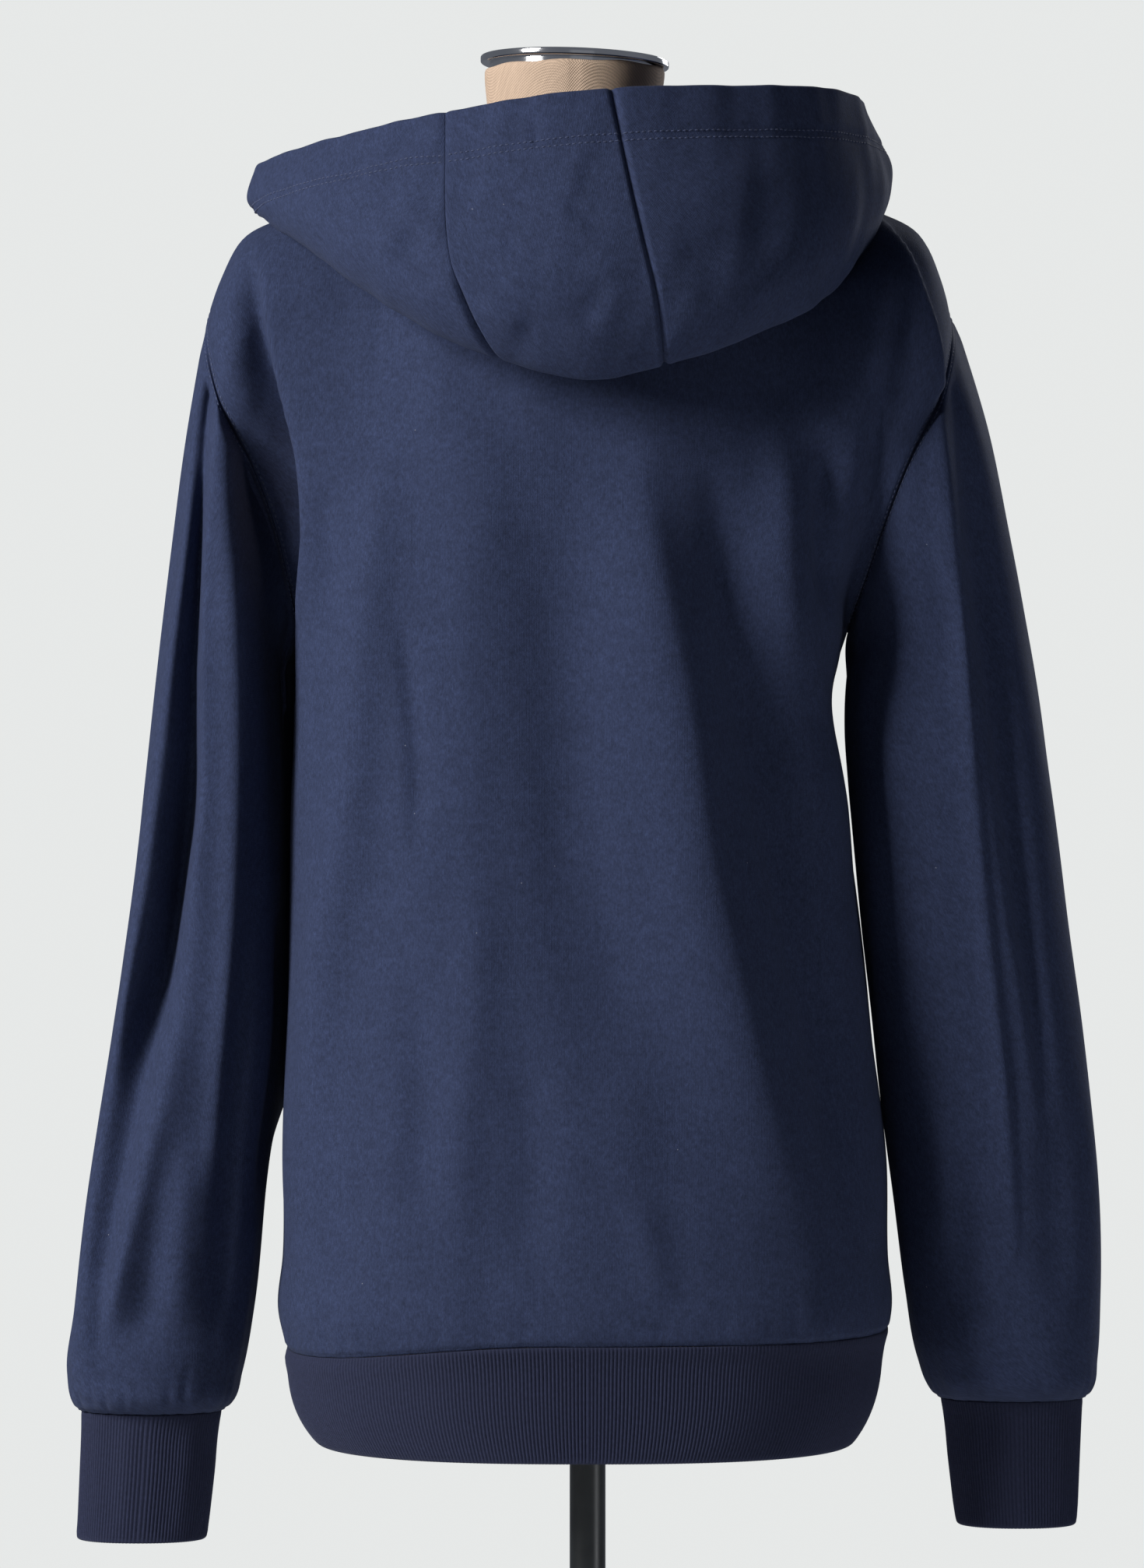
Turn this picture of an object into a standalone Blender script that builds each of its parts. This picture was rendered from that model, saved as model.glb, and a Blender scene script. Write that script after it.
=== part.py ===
# Pullover hoodie on a limbless dress form with a floor stand.
# The floor is z = 0 and the pole stands on the Z axis. The wearer faces -Y and the wearer's left is +X.
# Tables are in millimetres, heights above the floor, reaches from the pole's axis.
import math

import bmesh
import bpy
import numpy as np

MM = 0.001
CLOTH = 2.0
RIB_KNIT = 2.6
RIB_RELIEF = 0.5
SEAM_GAP = 0.3
# The longest mitre at an armhole, and the wider gap under the arm with the height it fades over.
MITRE_LIMIT = 0.9
PIT_GAP = 0.7
PIT_SPREAD = 14.0
HEM_RIBS = 232
CUFF_RIBS = 60
INSIDE_STEP = 8

UNDERARM = 1133.0
BODY_COLUMNS = 25
LOW_ROWS = 10
YOKE_ROWS = 12
SLEEVE_ROWS = 17
HOOD_ROWS = 13
STRIP_COLUMNS = 7
SIDE_COLUMNS = 16
# How rows crowd towards the underarm, and towards both ends of a sleeve.
LOW_CROWDING = 0.85
SLEEVE_CROWDING = 0.45
# The share of the half width from which the yoke is drawn out to the armhole.
YOKE_DRAW = 0.35

# Outer face of the body by height. The number of the last column squares the ring's corners.
BODY = (
    # height, left, right, back, front, squareness
    (742.0, 164.0, 161.0, 126.0, 116.0, 2.6),
    (762.0, 167.5, 165.0, 131.0, 121.0, 2.6),
    (792.0, 166.0, 163.5, 131.0, 121.0, 2.6),
    (843.0, 165.4, 162.8, 129.0, 120.0, 2.5),
    (915.0, 162.0, 154.0, 125.0, 119.0, 2.4),
    (977.0, 162.0, 146.5, 121.0, 119.0, 2.4),
    (1032.0, 161.0, 139.0, 118.0, 121.0, 2.4),
    (1091.0, 157.0, 130.0, 118.0, 125.0, 2.4),
    (1133.0, 157.0, 142.0, 119.0, 127.0, 2.4),
)
# Armhole seams, from the underarm to the shoulder tip.
ARMHOLE = (
    # height, left, right, back, front
    (1133.0, 157.0, 142.0, 0.0, 0.0),
    (1158.0, 162.0, 150.0, 25.0, -27.0),
    (1190.0, 170.0, 160.0, 38.0, -40.0),
    (1222.0, 182.0, 172.0, 43.0, -45.0),
    (1254.0, 198.0, 188.0, 38.0, -40.0),
    (1284.0, 206.0, 196.0, 22.0, -24.0),
    (1303.0, 207.0, 198.0, 0.0, 0.0),
)
# Shoulder seams, from the neck point to the shoulder tip, by share of their length.
SHOULDER = (
    # share, left, right, left height, right height
    (0.00, 88.0, 84.0, 1378.0, 1380.0),
    (0.28, 130.0, 124.0, 1368.0, 1370.0),
    (0.54, 167.0, 158.0, 1356.5, 1360.0),
    (0.72, 189.0, 181.0, 1344.0, 1347.0),
    (0.86, 200.0, 191.0, 1323.0, 1326.0),
    (1.00, 207.0, 198.0, 1303.0, 1303.0),
)
NECK_SHARE = 0.5
NECK_BACK = (62.0, 1366.0)
NECK_FRONT = (-80.0, 1332.0)
NECK_DIP = 2.2

# Shares over which folds fade at a panel's side edges and at their own ends.
EDGE_FADE = 0.12
END_FADE = 0.15
# Large folds of the two body faces: a ridge is positive, a trough negative.
FOLDS = (
    # face, top x, top height, low x, low height, half width, depth
    ("back", 112.0, 1215.0, 156.0, 850.0, 17.0, 5.0),
    ("back", 93.0, 1105.0, 92.0, 1010.0, 9.0, -3.0),
    ("back", -13.0, 1235.0, -20.0, 1000.0, 26.0, 4.0),
    ("back", -48.0, 1200.0, -128.0, 770.0, 22.0, -7.0),
    ("back", -88.0, 1240.0, -100.0, 1120.0, 15.0, 5.0),
    ("back", 15.0, 1040.0, 8.0, 900.0, 18.0, -3.0),
    ("front", 92.0, 1230.0, 128.0, 830.0, 20.0, -6.0),
    ("front", 48.0, 1150.0, 72.0, 850.0, 20.0, 4.0),
    ("front", -30.0, 1090.0, -44.0, 820.0, 24.0, -4.0),
    ("front", -96.0, 1225.0, -134.0, 850.0, 18.0, 6.0),
)

# Sleeves by height, as one stands on its cuff. Reaches are given for each side.
SLEEVES = {
    "left": (
        # height, outer, inner, back, front
        (707.0, 277.0, 199.0, 22.0, -38.0),
        (712.0, 281.5, 193.0, 30.0, -46.0),
        (727.0, 284.0, 188.8, 36.0, -53.0),
        (763.0, 279.5, 182.3, 38.0, -56.0),
        (825.0, 273.0, 175.5, 41.0, -57.0),
        (914.0, 259.5, 164.3, 44.0, -58.0),
        (984.0, 248.5, 163.8, 47.0, -58.0),
        (1050.0, 240.8, 163.6, 50.0, -58.0),
        (1115.0, 233.2, 165.5, 54.0, -58.0),
        (1178.0, 225.0, 168.0, 55.0, -58.0),
        (1243.0, 217.0, 182.0, 46.0, -50.0),
        (1303.0, 207.6, 199.0, 16.0, -18.0),
    ),
    "right": (
        (714.0, 271.0, 192.0, 22.0, -38.0),
        (719.0, 276.0, 186.5, 30.0, -46.0),
        (735.0, 278.5, 180.5, 37.0, -54.0),
        (771.0, 280.0, 173.4, 40.0, -57.0),
        (838.0, 278.0, 164.9, 43.0, -59.0),
        (915.0, 269.8, 156.0, 46.0, -60.0),
        (977.0, 261.0, 148.6, 49.0, -60.0),
        (1050.0, 251.5, 142.2, 52.0, -60.0),
        (1105.0, 243.5, 142.0, 55.0, -60.0),
        (1178.0, 230.5, 158.0, 56.0, -60.0),
        (1243.0, 217.5, 174.0, 47.0, -51.0),
        (1303.0, 198.6, 190.0, 16.0, -18.0),
    ),
}
SLEEVE_SQUARENESS = 2.2
# Below the armhole the cap settles into the plain tube, over these heights outside and under the arm.
CAP_DEPTH = 150.0
PIT_DEPTH = 30.0

# Sleeve folds: a bearing of 0 faces out, 90 faces back, 180 faces the body and 270 faces front.
SLEEVE_FOLDS = {
    "left": (
        # top bearing, top height, low bearing, low height, half width, depth
        (34.0, 1240.0, 44.0, 870.0, 13.0, -4.0),
        (66.0, 1240.0, 70.0, 900.0, 15.0, 4.0),
        (62.0, 900.0, 84.0, 740.0, 14.0, -3.0),
        (190.0, 1060.0, 200.0, 800.0, 14.0, -3.0),
        (300.0, 1180.0, 290.0, 780.0, 18.0, -4.0),
    ),
    "right": (
        (46.0, 1270.0, 52.0, 1120.0, 12.0, 4.0),
        (30.0, 1240.0, 40.0, 900.0, 14.0, -4.0),
        (100.0, 1050.0, 84.0, 800.0, 16.0, 3.0),
        (196.0, 1080.0, 205.0, 820.0, 12.0, -5.0),
        (292.0, 1180.0, 300.0, 790.0, 16.0, -7.0),
    ),
}
CAP_SETTLE = 0.7
# Gathers just above the cuff seam, and the heights over which sleeve folds fade in.
PUCKERS = 9
PUCKER_DEPTH = 1.1
PUCKER_HEIGHT = 12.0
FADE_AT_ARMHOLE = 30.0
FADE_AT_CUFF = 8.0

# Cuffs and hem band, upper edge first.
CUFFS = {
    "left": (
        # height, outer, inner, back, front
        (706.7, 277.0, 199.0, 22.0, -38.0),
        (672.0, 277.0, 204.3, 20.0, -33.0),
        (638.0, 278.6, 208.0, 19.0, -32.0),
    ),
    "right": (
        (713.7, 271.0, 192.0, 22.0, -38.0),
        (680.0, 268.0, 197.5, 20.0, -33.0),
        (646.0, 266.5, 201.4, 19.0, -32.0),
    ),
}
HEM_TOP = 754.0
HEM_LEFT_DROP = 11.0
HEM_BOTTOM = 693.0
HEM_LEVELS = (
    # share of the band's depth, tuck at the sides, tuck at the back and front
    (1.0, 16.0, 5.0),
    (0.48, 2.5, 1.5),
    (0.0, 0.0, 0.0),
)

# Hood by bearing round the neck: 0 faces back, 90 the wearer's left and 180 front.
# Each section runs from the neck seam, over the rest of the garment to the fold, and up to the brim.
HOOD = (
    # bearing, lie r, lie z, fold r, fold z, swell r, swell z, brim r, brim z
    (-180.0, 88.0, 1339.0, 95.0, 1345.0, 100.0, 1355.0, 98.0, 1368.0),
    (-150.0, 100.0, 1353.0, 119.0, 1346.0, 130.0, 1358.0, 123.0, 1385.0),
    (-120.0, 114.0, 1372.0, 140.0, 1353.0, 153.0, 1368.0, 141.0, 1400.0),
    (-90.0, 122.0, 1379.5, 151.0, 1368.0, 163.0, 1378.0, 149.0, 1411.0),
    (-60.0, 120.0, 1366.0, 150.0, 1312.0, 171.0, 1352.0, 155.0, 1415.0),
    (-30.0, 115.0, 1353.0, 148.0, 1279.0, 178.0, 1322.0, 152.0, 1411.0),
    (0.0, 110.0, 1347.0, 140.0, 1259.0, 178.0, 1310.0, 154.0, 1406.0),
    (30.0, 116.0, 1351.0, 148.0, 1282.0, 177.0, 1318.0, 152.0, 1397.0),
    (60.0, 124.0, 1366.0, 158.0, 1326.0, 178.0, 1350.0, 162.0, 1388.0),
    (90.0, 132.0, 1376.0, 170.0, 1360.5, 182.0, 1363.0, 178.0, 1375.0),
    (120.0, 116.0, 1373.0, 146.0, 1351.0, 159.0, 1359.0, 152.0, 1374.0),
    (150.0, 102.0, 1353.0, 121.0, 1345.0, 131.0, 1354.0, 125.0, 1371.0),
    (180.0, 88.0, 1339.0, 95.0, 1345.0, 100.0, 1354.0, 98.0, 1366.0),
)
HOOD_KNOTS = (0.0, 0.24, 0.5, 0.76, 1.0)
HOOD_CLOTH = 2.2
NECK_GAP = 1.0
# Bearings of the two hood seams at the fold and at the brim, and of the front edges.
HOOD_SEAMS = {"left": (17.0, 29.5), "right": (-17.0, -4.6)}
HOOD_FRONT = (179.0, 168.0)
# The share of a section from which its seams begin to turn towards the brim's bearings.
SEAM_TURN = 0.45

# Dress form, by height, all about its own leaning axis.
FORM = (
    # height, left, right, back, front, squareness
    (726.0, 138.0, 138.0, 92.0, 88.0, 2.2),
    (738.0, 146.0, 146.0, 100.0, 95.0, 2.2),
    (800.0, 149.0, 149.0, 106.0, 98.0, 2.3),
    (880.0, 142.0, 142.0, 101.0, 94.0, 2.2),
    (960.0, 127.0, 127.0, 91.0, 90.0, 2.1),
    (1040.0, 119.0, 119.0, 90.0, 96.0, 2.1),
    (1120.0, 128.0, 128.0, 97.0, 108.0, 2.1),
    (1200.0, 148.0, 148.0, 94.0, 102.0, 2.1),
    (1260.0, 169.0, 171.0, 82.0, 84.0, 2.0),
    (1303.0, 180.0, 181.0, 62.0, 60.0, 1.9),
    (1328.0, 181.5, 183.5, 52.0, 48.0, 1.8),
    (1346.0, 176.0, 181.5, 39.0, 38.0, 1.6),
    (1354.5, 153.0, 167.0, 38.0, 38.0, 1.6),
    (1363.0, 130.0, 143.5, 38.0, 38.0, 1.6),
    (1369.5, 103.0, 120.5, 40.0, 40.0, 1.6),
    (1375.0, 80.0, 98.0, 43.0, 42.0, 1.6),
    (1383.0, 62.0, 68.0, 47.5, 45.5, 1.8),
    (1396.0, 52.0, 52.0, 48.5, 48.0, 2.0),
    (1434.0, 49.0, 49.0, 49.0, 49.0, 2.0),
)
FORM_COLUMNS = 28
FORM_LEAN = 7.0
CAP_RADIUS = 51.3
CAP_THICKNESS = 4.0
CAP_FOOT = 1434.3
CAP_STEP = 4.5
CAP_RIM = 4.0
CAP_BEVEL = 0.8
POLE_RADIUS = 9.75
BASE_RADIUS = 170.0
BASE_THICKNESS = 10.0
BASE_BEVEL = 2.0

FLEECE_BLUE = (0.030, 0.042, 0.100)
RIB_BLUE = (0.024, 0.028, 0.062)
LINEN = (0.50, 0.36, 0.25)
CHROME = (0.78, 0.78, 0.80)
BLACK_STEEL = (0.022, 0.026, 0.030)


def smooth(at, knots, values):
    # Cubic curve through the values, with slopes taken from their neighbours.
    knots = np.asarray(knots, float)
    values = np.asarray(values, float)
    at = np.clip(np.asarray(at, float), knots[0], knots[-1])
    slopes = np.gradient(values, knots, axis=0)
    span = np.clip(np.searchsorted(knots, at, side="right") - 1, 0, len(knots) - 2)
    width = knots[span + 1] - knots[span]
    u = (at - knots[span]) / width
    if values.ndim > 1:
        u = u[..., None]
        width = width[..., None]
    start = (2 * u**3 - 3 * u**2 + 1) * values[span] + (u**3 - 2 * u**2 + u) * width * slopes[span]
    end = (3 * u**2 - 2 * u**3) * values[span + 1] + (u**3 - u**2) * width * slopes[span + 1]
    return start + end


def read(table, at):
    # The columns of a table whose first column is the knot.
    rows = np.array(sorted(table))
    return np.moveaxis(smooth(at, rows[:, 0], rows[:, 1:]), -1, 0)


def ease(x):
    x = np.clip(x, 0.0, 1.0)
    return x * x * (3 - 2 * x)


def signed_power(x, power):
    return np.sign(x) * np.abs(x) ** power


def points(x, y, z):
    return np.stack(np.broadcast_arrays(x, y, z), axis=-1).astype(float)


def unit(v):
    return v / np.maximum(np.linalg.norm(v, axis=-1, keepdims=True), 1e-9)


def normals(grid, closed):
    # Outward where columns run anticlockwise from above and rows run upward.
    if closed:
        across = np.roll(grid, -1, 1) - np.roll(grid, 1, 1)
    else:
        across = np.gradient(grid, axis=1)
    return unit(np.cross(across, np.gradient(grid, axis=0)))


def oval(theta, left, right, back, front, squareness):
    c = signed_power(np.cos(theta), 2 / squareness)
    s = signed_power(np.sin(theta), 2 / squareness)
    return c * np.where(c > 0, left, right), s * np.where(s > 0, back, front)


def material(name, colour, roughness, metallic=0.0):
    made = bpy.data.materials.new(name)
    made.use_nodes = True
    shader = made.node_tree.nodes["Principled BSDF"]
    shader.inputs["Base Color"].default_value = (*colour, 1.0)
    shader.inputs["Roughness"].default_value = roughness
    shader.inputs["Metallic"].default_value = metallic
    return made


def add_object(name, vertices, faces, finish, parent, sharp=40.0):
    mesh = bpy.data.meshes.new(name)
    mesh.from_pydata([tuple(v * MM) for v in vertices], [], faces)
    shape = bmesh.new()
    shape.from_mesh(mesh)
    bmesh.ops.recalc_face_normals(shape, faces=shape.faces)
    shape.to_mesh(mesh)
    shape.free()
    mesh.materials.append(finish)
    mesh.shade_smooth()
    mesh.set_sharp_from_angle(angle=math.radians(sharp))
    made = bpy.data.objects.new(name, mesh)
    bpy.context.scene.collection.objects.link(made)
    made.parent = parent
    return made


def wall(name, outer, inner, closed, finish, parent):
    # A cloth wall between two grids. The inner one may have fewer columns, when the outer one is ribbed.
    rows, columns = outer.shape[:2]
    inner_columns = inner.shape[1]
    step = columns // inner_columns if closed else (columns - 1) // (inner_columns - 1)
    faces = []

    def quads(first, width):
        for r in range(rows - 1):
            for c in range(width if closed else width - 1):
                d = (c + 1) % width
                low = first + r * width
                high = low + width
                faces.append((low + c, low + d, high + d, high + c))

    def rim(r):
        for c in range(inner_columns if closed else inner_columns - 1):
            d = (c + 1) % inner_columns
            along = [r * columns + (c * step + k) % columns for k in range(step + 1)]
            base = rows * columns + r * inner_columns
            faces.append((*along, base + d, base + c))

    quads(0, columns)
    quads(rows * columns, inner_columns)
    rim(0)
    rim(rows - 1)
    if not closed:
        for r in range(rows - 1):
            for c, i in ((0, 0), (columns - 1, inner_columns - 1)):
                low = r * columns + c
                base = rows * columns + r * inner_columns + i
                faces.append((low, low + columns, base + inner_columns, base))
    vertices = np.concatenate([outer.reshape(-1, 3), inner.reshape(-1, 3)])
    return add_object(name, vertices, faces, finish, parent)


def turned(name, profile, centre, finish, parent, columns=32):
    # A solid turned about a vertical axis, from (radius, height) pairs that start and end on the axis.
    rings = [(r, z) for r, z in profile if r > 0]
    angles = np.arange(columns) * 2 * math.pi / columns
    vertices = [
        (centre + r * math.cos(a), r * math.sin(a), z) for r, z in rings for a in angles
    ]
    faces = [tuple(range(columns)), tuple((len(rings) - 1) * columns + np.arange(columns))]
    for r in range(len(rings) - 1):
        for c in range(columns):
            d = (c + 1) % columns
            low = r * columns
            faces.append((low + c, low + d, low + columns + d, low + columns + c))
    faces = [tuple(int(i) for i in face) for face in faces]
    return add_object(name, np.array(vertices), faces, finish, parent)


def pull_in(grid, edges):
    # Draws the named edges back along the cloth by half a seam gap.
    for axis, edge, beside in edges:
        take = (slice(None), edge) if axis == "column" else (edge, slice(None))
        near = (slice(None), beside) if axis == "column" else (beside, slice(None))
        grid[take] += unit(grid[near] - grid[take]) * SEAM_GAP / 2
    return grid


def fold_depth(x, z, rows):
    # Height of soft ridges and troughs that run from (top x, top z) to (low x, low z).
    depth = np.zeros(np.broadcast(x, z).shape)
    for top_x, top_z, low_x, low_z, half_width, height in rows:
        down = (top_z - z) / (top_z - low_z)
        centre = top_x + (low_x - top_x) * down
        ends = ease((down + END_FADE) / (2 * END_FADE)) * ease((1 + END_FADE - down) / (2 * END_FADE))
        depth += height * ends * np.exp(-(((x - centre) / half_width) ** 2))
    return depth


# --- body ---


def hem_line(theta):
    # The band's upper edge, lower at the wearer's left where the body blouses over it.
    return HEM_TOP - HEM_LEFT_DROP * ease(np.cos(theta))


def body_ring(z, theta):
    left, right, back, front, squareness = read(BODY, z)
    x, y = oval(theta, left, right, back, front, squareness)
    return points(x, y, z)


def armhole(share, side, face):
    # A point of the armhole seam, from the underarm (0) to the shoulder tip (1).
    table = np.array(ARMHOLE)
    knots = np.linspace(0.0, 1.0, len(table))
    z, left, right, back, front = np.moveaxis(smooth(share, knots, table), -1, 0)
    x = left if side > 0 else -right
    return points(x, back if face > 0 else front, z)


def top_line(share, face):
    # Neckline and shoulder seams, from the right tip (-1) over the neck to the left tip (1).
    reach = np.abs(share)
    turn = np.clip(reach / NECK_SHARE, 0.0, 1.0) * math.pi / 2
    along = np.clip((reach - NECK_SHARE) / (1 - NECK_SHARE), 0.0, 1.0)
    left, right, left_z, right_z = read(SHOULDER, along)
    out = np.where(share > 0, left, right) * np.where(reach < NECK_SHARE, np.sin(turn), 1.0)
    side_z = np.where(share > 0, left_z, right_z)
    mid_y, mid_z = NECK_BACK if face > 0 else NECK_FRONT
    y = mid_y * np.cos(turn)
    z = side_z + (mid_z - side_z) * np.cos(turn) ** NECK_DIP
    return points(np.sign(share) * out, y, z)


def body_face(face):
    # Outer grid of the back (1) or the front (-1), from the hem seam up to the shoulders.
    theta = np.linspace(0.0, math.pi, BODY_COLUMNS)
    if face < 0:
        theta = theta + math.pi
    share = np.linspace(1.0, -1.0, BODY_COLUMNS) * face
    low = np.linspace(0.0, 1.0, LOW_ROWS)[:, None] ** LOW_CROWDING
    hem = hem_line(theta)[None, :] + SEAM_GAP / 2
    lower = body_ring(hem + (UNDERARM - hem) * low, theta[None, :])
    start = lower[-1]
    end = top_line(share, face)
    rise = np.linspace(0.0, 1.0, YOKE_ROWS + 1)[1:, None, None]
    yoke = end + (start - end) * np.cos(rise * math.pi / 2)
    yoke[..., 2] = start[:, 2] + (end[:, 2] - start[:, 2]) * np.sin(rise[..., 0] * math.pi / 2)
    for side in (1, -1):
        edge = armhole(rise[:, 0, 0], side, face)
        column = 0 if side * face > 0 else BODY_COLUMNS - 1
        weight = ease((share * side - YOKE_DRAW) / (1 - YOKE_DRAW))[None, :, None]
        yoke += (edge - yoke[:, column])[:, None, :] * weight
    grid = np.concatenate([lower, yoke])
    rows = [fold[1:] for fold in FOLDS if fold[0] == ("back" if face > 0 else "front")]
    edge_fade = ease((1 - np.abs(share)) / EDGE_FADE)[None, :]
    top_fade = np.ones(len(grid))[:, None]
    top_fade[-1] = 0.0
    depth = fold_depth(grid[..., 0], grid[..., 2], rows) * edge_fade * top_fade
    return grid + normals(grid, False) * depth[..., None]


def body_panel(name, face, tips, finish, parent):
    outer = body_face(face)
    facing = normals(outer, False)
    # At the hem the wall's end is level, and at the armholes it is cut along the shared mitre.
    facing[0, :, 2] = 0.0
    facing[0] = unit(facing[0])
    facing[-1, :, 1] = 0.0
    facing[-1] = unit(facing[-1])
    facing[:, 0] = tips[(face, 0)]
    facing[:, -1] = tips[(face, -1)]
    outer = pull_in(outer, (("column", 0, 1), ("column", -1, -2), ("row", -1, -2)))
    return wall(name, outer, outer - facing * CLOTH, False, finish, parent)


# --- sleeves ---


def sleeve_ring(name, bearing, z):
    outer, inner, back, front = read(SLEEVES[name], z)
    middle = (outer + inner) / 2
    half = (outer - inner) / 2
    level = (back + front) / 2
    deep = (back - front) / 2
    c = signed_power(np.cos(bearing), 2 / SLEEVE_SQUARENESS)
    s = signed_power(np.sin(bearing), 2 / SLEEVE_SQUARENESS)
    return points(middle + half * c, level + deep * s, z)


def sleeve_grid(name, side, faces):
    # Outer grid from cuff seam to armhole. Columns start at the tip and go round by the back.
    back = armhole_edge(faces[1], side)
    front = armhole_edge(faces[-1], side)
    loop = np.concatenate([back[::-1], front[1:-1]])
    loop[:, 0] = np.abs(loop[:, 0])
    step = np.linalg.norm(np.diff(np.concatenate([loop, loop[:1]]), axis=0), axis=1)
    run = np.concatenate([[0.0], np.cumsum(step)])
    bearing = 2 * math.pi * run[:-1] / run[-1]
    foot = min(SLEEVES[name])[0]
    share = np.linspace(0.0, 1.0, SLEEVE_ROWS)[:, None]
    share = (1 - SLEEVE_CROWDING) * share + SLEEVE_CROWDING * ease(share)
    z = foot + (loop[None, :, 2] - foot) * share
    grid = sleeve_ring(name, bearing[None, :], z)
    cap = sleeve_ring(name, bearing, loop[:, 2])
    drop = (loop[None, :, 2] - z)[..., None]
    facing_out = ((1 + np.cos(bearing)) / 2)[None, :, None] ** CAP_SETTLE
    settle = PIT_DEPTH + (CAP_DEPTH - PIT_DEPTH) * facing_out
    grid = grid + (loop - cap)[None] * ease(1 - drop / settle)
    degrees = np.degrees(bearing)[None, :] + 0 * z
    depth = fold_depth(degrees, z, SLEEVE_FOLDS[name])
    rise = (z - foot) / PUCKER_HEIGHT
    depth += PUCKER_DEPTH * np.cos(PUCKERS * bearing)[None, :] * np.exp(-((rise - 1) ** 2))
    depth *= ease(drop[..., 0] / FADE_AT_ARMHOLE) * ease((z - foot) / FADE_AT_CUFF)
    grid = grid + normals(grid, True) * depth[..., None]
    return grid


def mirrored(grid):
    # The other side's grid: x changes sign, and columns keep running anticlockwise.
    flipped = grid * np.array((-1.0, 1.0, 1.0))
    return np.concatenate([flipped[:, :1], flipped[:, :0:-1]], axis=1)


def armhole_edge(grid, side):
    # The panel's armhole edge, underarm first, as the grid's own points.
    column = 0 if (side > 0) == (grid[0, 0, 0] > 0) else -1
    return grid[LOW_ROWS - 1 :, column].copy()


def sleeves_and_mitres():
    faces = {1: body_face(1), -1: body_face(-1)}
    tips = {(face, column): normals(faces[face], False)[:, column] for face in (1, -1) for column in (0, -1)}
    made = {}
    for name, side in (("left", 1), ("right", -1)):
        grid = sleeve_grid(name, side, faces)
        facing = normals(grid, True)
        facing[0, :, 2] = 0.0
        facing[0] = unit(facing[0])
        rows = YOKE_ROWS + 1
        flip = np.array((1.0 if side > 0 else -1.0, 1.0, 1.0))
        back_column = 0 if side > 0 else -1
        front_column = -1 if side > 0 else 0
        back = tips[(1, back_column)][LOW_ROWS - 1 :]
        front = tips[(-1, front_column)][LOW_ROWS - 1 :]
        body = np.concatenate([back[::-1], front[1:-1]]) * flip
        body[0] = unit((back[-1] + front[-1]) * flip)
        body[rows - 1] = unit((back[0] + front[0]) * flip)
        meet = unit(facing[-1] + body)
        facing[-1] = meet / np.maximum((meet * body).sum(-1, keepdims=True), MITRE_LIMIT)
        shared = facing[-1] * flip
        tips[(1, back_column)][LOW_ROWS - 1 :] = shared[:rows][::-1]
        tips[(-1, front_column)][LOW_ROWS - 1 :] = np.concatenate([shared[rows - 1 :], shared[:1]])
        grid = pull_in(grid, (("row", -1, -2), ("row", 0, 1)))
        pit = PIT_GAP * np.exp(-(((grid[-1, :, 2] - UNDERARM) / PIT_SPREAD) ** 2))[:, None]
        grid[-1] += unit(grid[-2] - grid[-1]) * (pit + SEAM_GAP / 2)
        made[name] = (grid, grid - facing * CLOTH)
    return faces, tips, made


# --- rib pieces ---


def ribbed(ring, ribs):
    # Outer columns alternate between a rib's crown and the groove beside it.
    columns = 2 * ribs
    theta = np.arange(columns) * 2 * math.pi / columns
    outer = ring(theta)
    facing = normals(outer, True)
    facing[..., 2] = 0.0
    facing = unit(facing)
    inner = (outer - facing * RIB_KNIT)[:, ::INSIDE_STEP]
    groove = (np.arange(columns) % 2)[None, :, None] * RIB_RELIEF
    return outer - facing * groove, inner


def even_turn(theta, ring):
    # Bearings spaced evenly along the ring, in place of evenly in angle.
    fine = np.linspace(0.0, 2 * math.pi, 721)
    x, y = ring(fine)
    run = np.concatenate([[0.0], np.cumsum(np.hypot(np.diff(x), np.diff(y)))])
    return np.interp(theta / (2 * math.pi) * run[-1], run, fine)


def hem_band(finish, parent):
    left, right, back, front, squareness = (float(v) for v in read(BODY, HEM_TOP - HEM_LEFT_DROP + 1.0))

    def ring(theta):
        turn = even_turn(theta, lambda t: oval(t, left, right, back, front, squareness))
        top = hem_line(turn) - SEAM_GAP / 2
        levels = []
        for share, side, face in HEM_LEVELS:
            x, y = oval(turn, left - side, right - side, back - face, front - face, squareness)
            levels.append(points(x, y, top + (HEM_BOTTOM - top) * share))
        seam = body_ring(hem_line(turn), turn)
        levels[-1][..., :2] = seam[..., :2]
        return np.stack(levels)

    outer, inner = ribbed(ring, HEM_RIBS)
    return wall("hem_band", outer, inner, True, finish, parent)


def cuff(name, side, finish, parent):
    def ring(theta):
        levels = []
        for height, outer, inner, back, front in reversed(CUFFS[name]):
            c = signed_power(np.cos(theta), 2 / SLEEVE_SQUARENESS)
            s = signed_power(np.sin(theta), 2 / SLEEVE_SQUARENESS)
            x = (outer + inner) / 2 + (outer - inner) / 2 * c
            levels.append(points(x, (back + front) / 2 + (back - front) / 2 * s, height))
        return np.stack(levels)

    outer, inner = ribbed(ring, CUFF_RIBS)
    if side < 0:
        outer, inner = mirrored(outer), mirrored(inner)
    return wall("cuff_" + name, outer, inner, True, finish, parent)


# --- hood ---


def neckline(bearing):
    # Radius and height of the neck seam at a bearing round the neck.
    share = np.linspace(-NECK_SHARE, NECK_SHARE, 121)
    back = top_line(share, 1)
    front = top_line(-share[1:-1], -1)
    loop = np.concatenate([front[59:], back, front[:60]])
    turn = np.degrees(np.unwrap(np.arctan2(loop[:, 0], loop[:, 1])))
    radius = np.hypot(loop[:, 0], loop[:, 1])
    turn -= 360.0 * round(turn[len(turn) // 2] / 360.0)
    return np.interp(bearing, turn, radius), np.interp(bearing, turn, loop[:, 2])


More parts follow.
